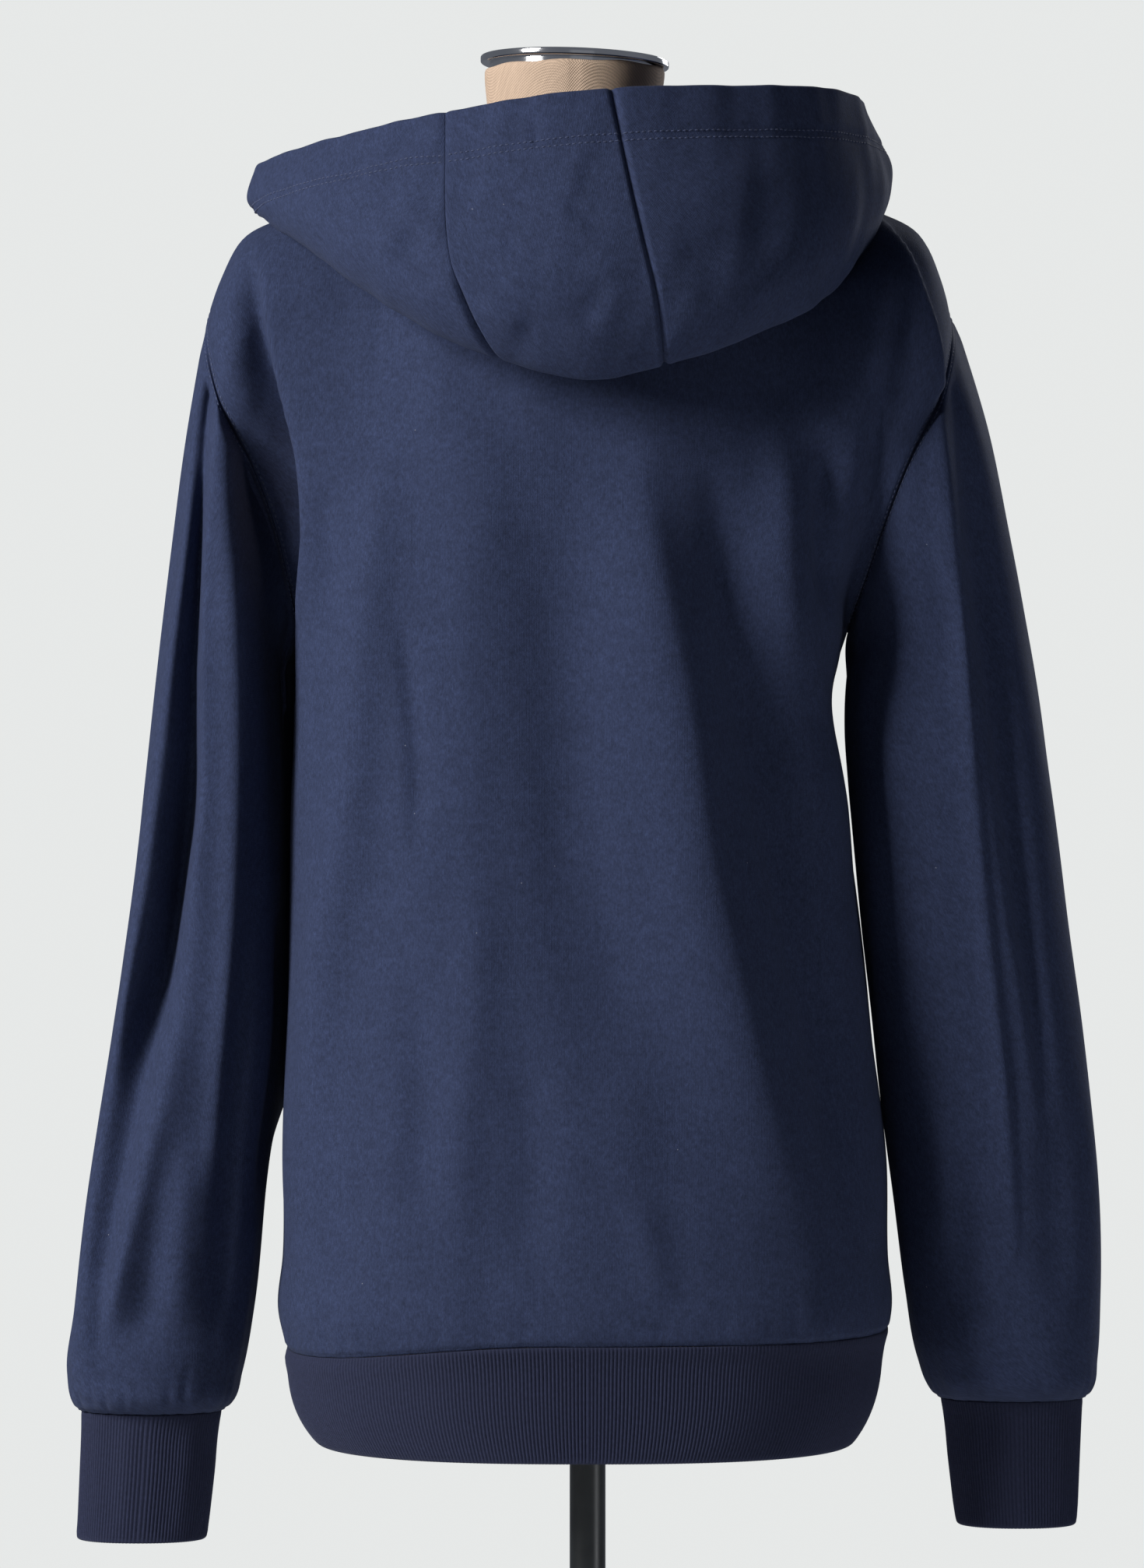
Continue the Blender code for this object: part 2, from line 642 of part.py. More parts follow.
def hood_point(bearing, t):
    # The hood's outer face, from the neck seam (0) by the fold (0.5) to the brim (1).
    bearing = np.asarray(bearing, float)
    radius, height = neckline(bearing)
    columns = read(HOOD, bearing)
    radii = np.concatenate([radius[None], columns[0::2]])
    heights = np.concatenate([height[None] + NECK_GAP, columns[1::2]])
    knots = np.array(HOOD_KNOTS)
    r = smooth_along(t, knots, radii)
    turn = np.radians(bearing)
    return points(r * np.sin(turn), r * np.cos(turn), smooth_along(t, knots, heights))


def smooth_along(t, knots, values):
    # As smooth(), where each point has its own values at the knots.
    slopes = np.gradient(values, knots, axis=0)
    t = np.clip(np.broadcast_to(t, values.shape[1:]), 0.0, 1.0)
    span = np.clip(np.searchsorted(knots, t, side="right") - 1, 0, len(knots) - 2)
    width = knots[span + 1] - knots[span]
    u = (t - knots[span]) / width

    def take(table, index):
        return np.take_along_axis(table, index[None], axis=0)[0]

    after = span + 1
    start = (2 * u**3 - 3 * u**2 + 1) * take(values, span)
    start += (u**3 - 2 * u**2 + u) * width * take(slopes, span)
    end = (3 * u**2 - 2 * u**3) * take(values, after)
    end += (u**3 - u**2) * width * take(slopes, after)
    return start + end


def hood_normal(bearing, t):
    turn = 0.4
    rise = 0.004
    across = hood_point(bearing - turn, t) - hood_point(bearing + turn, t)
    along = hood_point(bearing, np.minimum(t + rise, 1.0)) - hood_point(bearing, np.maximum(t - rise, 0.0))
    return unit(np.cross(across, along))


def hood_panel(name, first, last, columns, finish, parent):
    # Bearings are (at the fold, at the brim). Columns run anticlockwise, from the left side to the right.
    t = np.linspace(0.0, 1.0, HOOD_ROWS)[:, None]
    climb = ease((t - SEAM_TURN) / (1 - SEAM_TURN))
    start = first[0] + (first[1] - first[0]) * climb
    end = last[0] + (last[1] - last[0]) * climb
    bearing = start + (end - start) * np.linspace(0.0, 1.0, columns)[None, :]
    outer = hood_point(bearing, t)
    facing = hood_normal(bearing, t + 0 * bearing)
    facing[0, :, 2] = 0.0
    facing[0] = unit(facing[0])
    outer = pull_in(outer, (("column", 0, 1), ("column", -1, -2)))
    return wall(name, outer, outer - facing * HOOD_CLOTH, False, finish, parent)


# --- dress form and stand ---


def form_torso(finish, parent):
    theta = np.arange(FORM_COLUMNS) * 2 * math.pi / FORM_COLUMNS
    heights = np.array([row[0] for row in FORM])
    rings = []
    for height, left, right, back, front, squareness in FORM:
        x, y = oval(theta, left, right, back, front, squareness)
        lean = FORM_LEAN * ease((height - heights[0]) / (heights[-1] - heights[0]))
        rings.append(points(x + lean, y, height))
    vertices = np.concatenate(rings)
    columns = FORM_COLUMNS
    faces = [tuple(range(columns)), tuple(range(len(vertices) - columns, len(vertices)))]
    for r in range(len(rings) - 1):
        for c in range(columns):
            d = (c + 1) % columns
            low = r * columns
            faces.append((low + c, low + d, low + columns + d, low + columns + c))
    return add_object("form_torso", vertices, faces, finish, parent)


def main():
    for old in list(bpy.data.objects):
        bpy.data.objects.remove(old)
    fleece = material("navy sweat fleece", FLEECE_BLUE, 0.85)
    rib = material("navy rib knit", RIB_BLUE, 0.85)
    linen = material("natural linen", LINEN, 0.9)
    chrome = material("chrome", CHROME, 0.12, 1.0)
    steel = material("black satin steel", BLACK_STEEL, 0.35)
    garment = bpy.data.objects.new("garment", None)
    stand = bpy.data.objects.new("stand", None)
    for empty in (garment, stand):
        bpy.context.scene.collection.objects.link(empty)

    faces, tips, sleeves = sleeves_and_mitres()
    body_panel("back_panel", 1, tips, fleece, garment)
    body_panel("front_panel", -1, tips, fleece, garment)
    for name, side in (("left", 1), ("right", -1)):
        outer, inner = sleeves[name]
        if side < 0:
            outer, inner = mirrored(outer), mirrored(inner)
        wall("sleeve_" + name, outer, inner, True, fleece, garment)
        cuff(name, side, rib, garment)
    hem_band(rib, garment)
    left = HOOD_SEAMS["left"]
    right = HOOD_SEAMS["right"]
    front_right = tuple(-b for b in HOOD_FRONT)
    hood_panel("hood_left", HOOD_FRONT, left, SIDE_COLUMNS, fleece, garment)
    hood_panel("hood_center", left, right, STRIP_COLUMNS, fleece, garment)
    hood_panel("hood_right", right, front_right, SIDE_COLUMNS, fleece, garment)

    form_torso(linen, stand)
    cap_top = CAP_FOOT + CAP_STEP + CAP_THICKNESS
    cap = (
        (CAP_RADIUS - CAP_RIM, CAP_FOOT),
        (CAP_RADIUS - CAP_RIM, CAP_FOOT + CAP_STEP),
        (CAP_RADIUS, CAP_FOOT + CAP_STEP),
        (CAP_RADIUS, cap_top - CAP_BEVEL),
        (CAP_RADIUS - CAP_BEVEL, cap_top),
    )
    turned("neck_cap", cap, FORM_LEAN, chrome, stand)
    pole = ((POLE_RADIUS, BASE_THICKNESS + SEAM_GAP), (POLE_RADIUS, FORM[0][0] - SEAM_GAP))
    turned("stand_pole", pole, 0.0, steel, stand, 24)
    base = (
        (BASE_RADIUS, 0.0),
        (BASE_RADIUS, BASE_THICKNESS - BASE_BEVEL),
        (BASE_RADIUS - BASE_BEVEL, BASE_THICKNESS),
    )
    turned("stand_base", base, 0.0, steel, stand, 48)


main()
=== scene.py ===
import math

import bmesh
import bpy
import numpy as np
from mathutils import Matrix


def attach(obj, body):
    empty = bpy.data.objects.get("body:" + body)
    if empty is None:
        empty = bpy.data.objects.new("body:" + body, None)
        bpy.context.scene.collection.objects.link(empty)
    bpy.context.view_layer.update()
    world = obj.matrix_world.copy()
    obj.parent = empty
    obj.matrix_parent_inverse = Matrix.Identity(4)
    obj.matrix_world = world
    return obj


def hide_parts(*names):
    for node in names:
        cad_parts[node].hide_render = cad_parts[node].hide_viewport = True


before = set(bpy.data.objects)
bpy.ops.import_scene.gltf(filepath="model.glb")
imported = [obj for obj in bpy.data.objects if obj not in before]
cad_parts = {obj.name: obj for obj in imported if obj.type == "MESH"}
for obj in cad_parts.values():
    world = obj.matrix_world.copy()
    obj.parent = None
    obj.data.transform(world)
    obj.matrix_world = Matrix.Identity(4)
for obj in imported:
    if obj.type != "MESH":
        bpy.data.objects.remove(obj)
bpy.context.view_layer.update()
mm = 0.001
seam = (0.0, 0.7, 1.4, 2.2, 3.0, 3.8, 4.8, 6.0, 7.4, 9.2, 11.6)  # fine spacing beside a seam, in mm


# Curves and grids are in mm. Grids run (row, column, xyz), with x to the wearer's left, y back and z up.
def cubic(u, width, start, startSlope, end, endSlope):
    near = (2 * u**3 - 3 * u**2 + 1) * start + (u**3 - 2 * u**2 + u) * width * startSlope
    return near + (3 * u**2 - 2 * u**3) * end + (u**3 - u**2) * width * endSlope


def smooth(at, knots, values):  # a cubic through the values, its slopes taken from their neighbours
    knots = np.asarray(knots, float)
    values = np.asarray(values, float)
    at = np.clip(np.asarray(at, float), knots[0], knots[-1])
    slopes = np.gradient(values, knots, axis=0)
    span = np.clip(np.searchsorted(knots, at, side="right") - 1, 0, len(knots) - 2)
    width = knots[span + 1] - knots[span]
    u = (at - knots[span]) / width
    if values.ndim > 1:
        u, width = u[..., None], width[..., None]
    return cubic(u, width, values[span], slopes[span], values[span + 1], slopes[span + 1])


def read(table, at):
    rows = np.array(sorted(table))
    return np.moveaxis(smooth(at, rows[:, 0], rows[:, 1:]), -1, 0)


def ease(x):
    x = np.clip(x, 0.0, 1.0)
    return x * x * (3 - 2 * x)


def signedPower(x, power):
    return np.sign(x) * np.abs(x) ** power


def points(x, y, z):
    return np.stack(np.broadcast_arrays(x, y, z), axis=-1).astype(float)


def bearings(count):  # evenly round a full turn
    return np.arange(count) * 2 * math.pi / count


def running(steps):  # the sum so far, starting from nothing
    return np.concatenate([[0.0], np.cumsum(steps)])


def unit(v):
    return v / np.maximum(np.linalg.norm(v, axis=-1, keepdims=True), 1e-9)


def normals(grid, closed):  # outward where columns run anticlockwise from above and rows run upward
    across = np.roll(grid, -1, 1) - np.roll(grid, 1, 1) if closed else np.gradient(grid, axis=1)
    return unit(np.cross(across, np.gradient(grid, axis=0)))


def oval(theta, left, right, back, front, squareness):
    c = signedPower(np.cos(theta), 2 / squareness)
    s = signedPower(np.sin(theta), 2 / squareness)
    return c * np.where(c > 0, left, right), s * np.where(s > 0, back, front)


def spaced(total, pitch, first=(0.0,), last=(0.0,)):  # 0 to 1, with fine steps at either end
    start = np.array(first)
    end = total - np.array(last)[::-1]
    count = max(2, int(round((end[0] - start[-1]) / pitch)))
    middle = np.linspace(start[-1], end[0], count + 1)[1:-1]
    return np.concatenate([start, middle, end]) / total


def runAlong(grid, axis):  # length of cloth from the first column or row
    step = np.linalg.norm(np.diff(grid, axis=axis), axis=-1)
    pad = [(0, 0), (0, 0)]
    pad[axis] = (1, 0)
    return np.cumsum(np.pad(step, pad), axis=axis)


def creases(x, z, rows):
    # Each row is (half width towards +x, half width towards -x, depth, path of (x, z) points).
    # A ridge is positive. Uneven widths make one flank steep, as where a fold overhangs.
    # A third number in each point is how much of the depth there is. Else both ends fade.
    total = np.zeros(np.broadcast(x, z).shape)
    for plus, minus, depth, path in rows:
        knots = np.linspace(0, 1, len(path))
        fine = smooth(np.linspace(0, 1, 5 * len(path)), knots, np.array(path, float))
        best = np.full(total.shape, 1e9)
        strength = np.ones(total.shape)
        along = np.zeros(total.shape)
        side = np.zeros(total.shape)
        for i in range(len(fine) - 1):
            a, b = fine[i], fine[i + 1]
            d = (b - a)[:2]
            t = np.clip(((x - a[0]) * d[0] + (z - a[1]) * d[1]) / (d @ d), 0, 1)
            ox, oz = x - a[0] - t * d[0], z - a[1] - t * d[1]
            gap = np.hypot(ox, oz)
            near = gap < best
            best = np.where(near, gap, best)
            along = np.where(near, (i + t) / (len(fine) - 1), along)
            side = np.where(near, (ox * -d[1] + oz * d[0]) * np.sign(-d[1] + 1e-9), side)
            if fine.shape[1] > 2:
                strength = np.where(near, a[2] + (b[2] - a[2]) * t, strength)
        ends = strength if fine.shape[1] > 2 else ease(along / 0.3) * ease((1 - along) / 0.3)
        width = np.where(side > 0, plus, minus) * np.clip(strength, 0.62, 1.0)
        total += depth * ends * np.exp(-((best / width) ** 2))
    return total


def ripples(a, b, seed, short, longest, height):  # gentle uneven waves of cloth that nothing has pressed
    luck = np.random.default_rng(seed)
    total = np.zeros(np.broadcast(a, b).shape)
    for _ in range(14):
        size = short * (longest / short) ** luck.random()
        turn = luck.normal(0.0, 0.45)
        wave = (a * math.cos(turn) + b * math.sin(turn)) * 2 * math.pi / size
        total += np.sin(wave + luck.random() * 6.3) * (size / longest) * luck.uniform(0.4, 1.0)
    return total * height / 3


def gathers(run, rise, seed, pitch, reach, height):  # short uneven puckers that stand on a seam
    luck = np.random.default_rng(seed)
    total = np.zeros(np.broadcast(run, rise).shape)
    at = float(run.min())
    while at < float(run.max()):
        at += pitch * luck.uniform(0.5, 1.7)
        tall = reach * luck.uniform(0.5, 1.3)
        pucker = np.exp(-(((run - at) / (pitch * 0.22)) ** 2)) * np.exp(-((rise / tall) ** 2))
        total -= luck.uniform(0.3, 1.0) * pucker
    return total * height


def worked(operation, swapped=False):  # an operator that adds its Math node
    def method(self, other=0.0):
        first, second = (other, self) if swapped else (self, other)
        return self.board.node("ShaderNodeMath", {"operation": operation}, {0: first, 1: second})
    return method


class Wire:  # one socket, so that finishes can be written as sums
    __add__ = __radd__ = worked("ADD")
    __mul__ = __rmul__ = worked("MULTIPLY")
    __sub__, __rsub__ = worked("SUBTRACT"), worked("SUBTRACT", True)
    __pow__, __rpow__ = worked("POWER"), worked("POWER", True)
    wave, above = worked("SINE"), worked("GREATER_THAN")

    def __init__(self, board, socket):
        self.board = board
        self.socket = socket


class Board:  # a node tree, whose nodes all come from one method
    def __init__(self, tree):
        self.tree = tree

    def node(self, kind, settings=None, sockets=None, output=0):
        made = self.tree.nodes.new(kind)
        for key, value in (settings or {}).items():
            if key == "stops":
                stops = made.color_ramp.elements
                for index, (place, shade) in enumerate(value):
                    stop = stops[index] if index < 2 else stops.new(place)
                    stop.position, stop.color = place, shade
            else:
                setattr(made, key, value)
        for key, value in (sockets or {}).items():
            if isinstance(value, Wire):
                self.tree.links.new(value.socket, made.inputs[key])
            else:
                made.inputs[key].default_value = value
        return None if output is None else Wire(self, made.outputs[output])


class Finish(Board):  # a material with its Principled shader, whose plain values are given once
    def __init__(self, name, colour, **values):
        self.material = bpy.data.materials.new(name)
        self.material.use_nodes = True
        super().__init__(self.material.node_tree)
        self.shader = self.tree.nodes["Principled BSDF"]
        self.shader.inputs["Base Color"].default_value = (*colour, 1)
        self.material.diffuse_color = (*colour, 1)
        for key, value in values.items():
            self.shader.inputs[key.replace("_", " ")].default_value = value

    def put(self, name, wire):
        self.tree.links.new(wire.socket, self.shader.inputs[name])

    def noise(self, where, scale, detail=3.0, roughness=0.6, stretch=None):
        if stretch:
            where = self.node("ShaderNodeMapping", None, {"Vector": where, "Scale": stretch})
        return self.node("ShaderNodeTexNoise", None,
                         {"Vector": where, "Scale": scale, "Detail": detail, "Roughness": roughness})

    def ramp(self, wire, *stops):
        return self.node("ShaderNodeValToRGB", {"stops": stops}, {"Fac": wire})

    def mix(self, factor, a, b):
        return self.node("ShaderNodeMix", {"data_type": "RGBA"}, {0: factor, 6: a, 7: b}, 2)

    def cells(self, where, scale, output=0):  # 0 is the way to a cell's middle, 1 a colour of its own
        return self.node("ShaderNodeTexVoronoi", {"feature": "F1"}, {"Vector": where, "Scale": scale}, output)

    def bump(self, height, depth, strength=1.0):
        return self.node("ShaderNodeBump", None, {"Height": height, "Distance": depth, "Strength": strength})

    def place(self):
        return self.node("ShaderNodeTexCoord", None, None, 3)

    def cloth(self):  # metres across and along the cloth
        return self.node("ShaderNodeUVMap", {"uv_map": "cloth"})

    def split(self, where, axis):
        return self.node("ShaderNodeSeparateXYZ", None, {0: where}, axis)


finishes = {
    "fleece": (0.0315, 0.0435, 0.0975),
    "fleeceInside": (0.042, 0.055, 0.118),
    "rib": (0.026, 0.031, 0.067),
    "thread": (0.045, 0.060, 0.128),
    "linen": (0.775, 0.575, 0.430),
    "chrome": (0.70, 0.70, 0.71),
    "steel": (0.020, 0.024, 0.026),
}


def lighter(colour, times):
    return (*(min(1.0, c * times) for c in colour), 1)


def shades(colour, *steps):  # a ramp's stops, as (place, how many times as light)
    return [(place, lighter(colour, times)) for place, times in steps]


def sweatFleece(name, colour, wale, fuzz):
    # Jersey face of sweat fleece: fine wales, heathered yarn, stray pale fibres, a soft nap.
    made = Finish(name, colour, Roughness=0.86, Sheen_Weight=0.06, Sheen_Roughness=0.4,
                  Sheen_Tint=(0.55, 0.62, 0.85, 1), Specular_IOR_Level=0.18)
    where = made.cloth()
    across, along = made.split(where, 0), made.split(where, 1)
    yarn = made.noise(where, 1100, 3, 0.75, (1, 0.4, 1))
    heather = made.noise(where, 330, 4, 0.7, (1, 0.6, 1))
    clouds = made.noise(where, 60, 3, 0.6)
    mixed = yarn * 0.5 + heather * 0.38 + clouds * 0.12
    tone = made.ramp(mixed, *shades(colour, (0.36, 0.62), (0.5, 1), (0.64, 1.5)))
    rare = made.split(made.cells(where, 170, 1), 0).above(0.985) * (0.055 - made.cells(where, 170)).above(0.0)
    made.put("Base Color", made.mix(rare * 0.55, tone, (0.35, 0.36, 0.42, 1)))
    wander = made.noise(where, 180, 2) * 2.4
    rows = (across * (2 * math.pi / wale) + wander).wave()
    chevrons = ((along * (2 * math.pi / (wale * 0.8)) + rows * 1.3)).wave()
    grain = made.noise(where, 1700, 3, 0.7)
    pile = made.noise(where, 420, 3, 0.6)
    height = rows * 0.16 + chevrons * 0.12 + grain * fuzz * 1.3 + pile * 0.9
    made.put("Normal", made.bump(height, 0.00022, 0.75))
    made.put("Roughness", 0.80 + heather * 0.14)
    return made.material


def ribKnit():
    colour = finishes["rib"]
    made = Finish("navyRibKnit", colour, Roughness=0.88, Sheen_Weight=0.12, Sheen_Roughness=0.5,
                  Sheen_Tint=(0.6, 0.65, 0.85, 1), Specular_IOR_Level=0.15)
    where = made.cloth()
    across, along = made.split(where, 0), made.split(where, 1)
    heather = made.noise(where, 800, 3, 0.65, (1, 0.5, 1))
    made.put("Base Color", made.ramp(heather, *shades(colour, (0.32, 0.78), (0.55, 1), (0.75, 1.25))))
    legs = (along * (2 * math.pi / 0.0011) + (across * (2 * math.pi / 0.00102)).wave() * 0.9).wave()
    made.put("Normal", made.bump(legs * 0.5 + made.noise(where, 2600, 2) * 0.7, 0.0001, 0.5))
    made.put("Roughness", 0.82 + heather * 0.12)
    return made.material


def linenCover():
    # Plain-woven linen: rows of small holes between the threads, darkened with painted shade, that step up to
    # the right, and slubs along the weft.
    colour = finishes["linen"]
    made = Finish("naturalLinen", colour, Roughness=0.82, Sheen_Weight=0.08, Sheen_Roughness=0.5,
                  Specular_IOR_Level=0.25)
    where = made.cloth()
    across, along = made.split(where, 0), made.split(where, 1)
    turn = 2 * math.pi / 0.00152
    uneven = made.noise(where, 160, 3, 0.6)
    warp = ((across + along) * turn + uneven * 1.5).wave()
    weft = ((across - along * 0.9) * turn + uneven * 1.5).wave()
    knots = warp * 0.5 + weft * 0.5
    slubs = made.noise(where, 420, 3, 0.6, (0.12, 1, 1))
    base = made.ramp(slubs * 0.6 + uneven * 0.4, *shades(colour, (0.3, 0.84), (0.55, 1), (0.78, 1.14)))
    # painted shade: the gaps between the threads are darkened in the base colour
    holeShade = (0.5 - knots * 0.5) ** 2.2
    made.put("Base Color", made.mix(holeShade * 0.7, base, lighter(colour, 0.36)))
    made.put("Normal", made.bump(knots * 0.7 + slubs * 0.3, 0.00025, 0.7))
    return made.material


def plated():
    made = Finish("polishedChrome", finishes["chrome"], Metallic=1.0, Roughness=0.1)
    where = made.place()
    haze = made.noise(where, 60, 4, 0.6, (1, 1, 6))
    made.put("Roughness", 0.05 + haze * 0.12)
    dull, bright = (0.56, 0.57, 0.59, 1), (0.74, 0.74, 0.75, 1)
    made.put("Base Color", made.ramp(made.noise(where, 18), (0.35, dull), (0.7, bright)))
    made.put("Normal", made.bump(made.noise(where, 140, 2), 0.0002, 0.12))
    return made.material


def satinBlack():
    colour = finishes["steel"]
    made = Finish("satinBlackSteel", colour, Roughness=0.36, Specular_IOR_Level=0.5)
    where = made.place()
    grit = made.noise(where, 1500, 2, 0.5)
    wear = made.noise(where, 30, 5, 0.65)
    made.put("Base Color", made.ramp(wear, *shades(colour, (0.35, 0.8), (0.7, 1.5))))
    made.put("Roughness", 0.27 + wear * 0.18)
    made.put("Normal", made.bump(grit, 0.00008, 0.35))
    return made.material


def twistedThread():
    colour = finishes["thread"]
    made = Finish("navyThread", colour, Roughness=0.6, Sheen_Weight=0.15, Specular_IOR_Level=0.3)
    where = made.place()
    made.put("Base Color", made.ramp(made.noise(where, 900), *shades(colour, (0.35, 0.7), (0.65, 1.35))))
    made.put("Normal", made.bump(made.noise(where, 2600, 2), 0.0001, 0.4))
    return made.material


fleece = sweatFleece("navySweatFleece", finishes["fleece"], 0.0009, 1.1)
brushed = sweatFleece("navyBrushedInside", finishes["fleeceInside"], 0.0022, 2.2)
rib = ribKnit()
linen = linenCover()
chrome = plated()
steel = satinBlack()
thread = twistedThread()
print("finishes made")


def setDown(name, data):  # an object in the scene
    made = bpy.data.objects.new(name, data)
    bpy.context.scene.collection.objects.link(made)
    return made


def addMesh(name, grid, quads, extra, finishList, marks=None, cornerUv=None, uv=None):
    mesh = bpy.data.meshes.new(name)
    mesh.from_pydata((grid.reshape(-1, 3) * mm).tolist(), [], quads.tolist() + [list(face) for face in extra])
    for finish in finishList:
        mesh.materials.append(finish)
    if marks is not None:
        index = np.zeros(len(mesh.polygons), np.int32)
        index[:len(marks)] = marks
        mesh.polygons.foreach_set("material_index", index)
    if uv is not None:
        corner = np.empty(len(mesh.loops), np.int32)
        mesh.loops.foreach_get("vertex_index", corner)
        place = uv[:, :grid.shape[1]].reshape(-1, 2)[corner]
        place[:len(cornerUv)] = cornerUv
        mesh.uv_layers.new(name="cloth").data.foreach_set("uv", (place * mm).astype(np.float32).ravel())
    shape = bmesh.new()
    shape.from_mesh(mesh)
    bmesh.ops.recalc_face_normals(shape, faces=shape.faces)
    shape.to_mesh(mesh)
    shape.free()
    mesh.shade_smooth()
    made = setDown(name, mesh)
    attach(made, "root")
    return made


def dress(made, node):  # stands for a CAD node, and hides the CAD part it stands for
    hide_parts(node)
    return made


def clothMeasure(outer, closed):  # how far each point lies across the cloth and up it
    run, rise = runAlong(outer, 1), runAlong(outer, 0)
    if closed:
        girth = run[:, -1:] + np.linalg.norm(outer[:, :1] - outer[:, -1:], axis=-1)
        return np.concatenate([run, girth], axis=1), np.concatenate([rise, rise[:, :1]], axis=1)
    half = run.shape[1] // 2
    return run - run[:, half:half + 1], rise


def gridFaces(tall, wide, rows, columns, uv=None):  # its quads, and where their corners lie on the cloth
    i, j = np.meshgrid(np.arange(tall), np.arange(wide), indexing="ij")
    up, across = (i + 1) % rows, (j + 1) % columns
    here, above = i * columns, up * columns
    quads = np.stack([here + j, here + across, above + across, above + j], axis=-1).reshape(-1, 4)
    if uv is None:
        return quads, None
    return quads, np.stack([uv[i, j], uv[i, j + 1], uv[up, j + 1], uv[up, j]], axis=2).reshape(-1, 2)


def sideEnds(down, columns, topRim, bottomRim, total):  # faces that close the two cut sides of a wall
    faces = []
    for c in (0, columns - 1):
        for k in range(len(down) - 1):
            strip = [r * columns + c for r in range(down[k + 1], down[k] + 1)]
            faces.append(strip + [(topRim + k) * columns + c, (topRim + k + 1) * columns + c])
        for first, last in ((down[0], topRim), (bottomRim - 1, total)):
            if last - first > 1:
                faces.append([(r % total) * columns + c for r in range(first, last + 1)])
    return faces


insideStep = 4  # the inside of the cloth has every fourth row
edgeTurns = (35, 70, 110, 145)  # degrees at which a free edge turns over


def clothWall(name, outer, inner, closed, free=(False, False), finishList=None):
    # A thin closed wall: outer rows up, over the upper end, inner rows down, round the lower end.
    rows, columns = outer.shape[:2]
    down = list(range(rows - 1, 0, -insideStep)) + [0]
    run, rise = clothMeasure(outer, closed)
    profile = [outer[r] for r in range(rows)]
    place = [(run[r], rise[r]) for r in range(rows)]

    def turnOver(r, beside, order):  # a free edge is rounded
        middle = (outer[r] + inner[r]) / 2
        half = (outer[r] - inner[r]) / 2
        size = np.linalg.norm(half, axis=-1, keepdims=True)
        away = unit(outer[r] - outer[beside]) * size
        for turn in np.radians(order):
            profile.append(middle + half * math.cos(turn) + away * math.sin(turn))
            place.append((run[r], rise[r] + math.sin(turn) * size.mean()))

    if free[1]:
        turnOver(rows - 1, rows - 2, edgeTurns)
    topRim = len(profile)
    profile += [inner[r] for r in down]
    place += [(run[r], rise[r]) for r in down]
    bottomRim = len(profile)
    if free[0]:
        turnOver(0, 1, edgeTurns[::-1])
    total = len(profile)
    wide = columns if closed else columns - 1
    uv = np.stack([np.stack(p, axis=-1) for p in place])
    quads, corners = gridFaces(total, wide, total, columns, uv)
    row = np.arange(total).repeat(wide)
    marks = np.where((row >= topRim) & (row < bottomRim - 1), 1, 0)
    extra = [] if closed else sideEnds(down, columns, topRim, bottomRim, total)
    return addMesh(name, np.stack(profile), quads, extra, finishList or [fleece, brushed], marks, corners, uv)


sewing = {"pitch": 3.2, "length": 2.5, "radius": 0.40, "sides": 5, "twinGap": 4.0, "seamGap": 3.6,
          "dentGap": 3.4}
sewn = []  # (vertices, quads, caps) of each row of stitches


def seamLine(grid, facing, edge, offset, closed=False):
    # The line at an offset from one edge of a grid, measured on the cloth, with the cloth's facing there.
    if edge in ("left", "right"):
        grid, facing = grid.swapaxes(0, 1), facing.swapaxes(0, 1)
    if edge in ("right", "top"):
        grid, facing = grid[::-1], facing[::-1]
    run = runAlong(grid, 0)
    span = np.argmax(run > offset, axis=0)
    columns = np.arange(grid.shape[1])
    low = run[span - 1, columns]
    t = ((offset - low) / np.maximum(run[span, columns] - low, 1e-6))[:, None]
    line = grid[span - 1, columns] * (1 - t) + grid[span, columns] * t
    up = unit(facing[span - 1, columns] * (1 - t) + facing[span, columns] * t)
    if closed:
        line, up = np.concatenate([line, line[:1]]), np.concatenate([up, up[:1]])
    return line, up


def stitch(line, up, seed=0, trim=0.0):
    run = running(np.linalg.norm(np.diff(line, axis=0), axis=1))
    count = int((run[-1] - 2 * trim) // sewing["pitch"])
    at = trim + (np.arange(count) + 0.5) * (run[-1] - 2 * trim) / count

    def follow(where, path):
        return np.stack([np.interp(where, run, path[:, k]) for k in range(3)], axis=1)

    middle = follow(at, line)
    along = unit(follow(at + 0.5, line) - follow(at - 0.5, line))
    out = unit(follow(at, up))
    side = unit(np.cross(along, out))
    luck = np.random.default_rng(seed).normal(0, 0.05, (count, 3))
    along = unit(along + side * luck[:, :1])
    length = sewing["length"] * (1 + luck[:, 1])
    turn = bearings(sewing["sides"])
    rings = []
    for share, thick, lift in ((-0.5, 0.45, -0.28), (-0.2, 1.0, 0.06), (0.2, 1.0, 0.06), (0.5, 0.45, -0.28)):
        centre = middle + along * (length * share)[:, None] + out * lift
        ring = [centre + (side * math.cos(t) + out * math.sin(t)) * sewing["radius"] * thick for t in turn]
        rings.append(np.stack(ring, axis=1))
    cloud = np.stack(rings, axis=1)  # stitch, ring, side
    k = sewing["sides"]
    base = np.arange(count)[:, None] * 4 * k
    quads = (base[..., None] + gridFaces(3, k, 4, k)[0]).reshape(-1, 4)
    caps = np.concatenate([base + np.arange(k)[::-1], base + 3 * k + np.arange(k)])
    sewn.append((cloud.reshape(-1, 3), quads, caps))


def gatherStitches(name):
    clouds, quads, caps = zip(*sewn)
    starts = np.cumsum([0] + [len(cloud) for cloud in clouds])
    quads = np.concatenate([faces + start for faces, start in zip(quads, starts)])
    caps = np.concatenate([ends + start for ends, start in zip(caps, starts)])
    sewn.clear()
    made = addMesh(name, np.concatenate(clouds), quads, caps.tolist(), [thread])
    return made


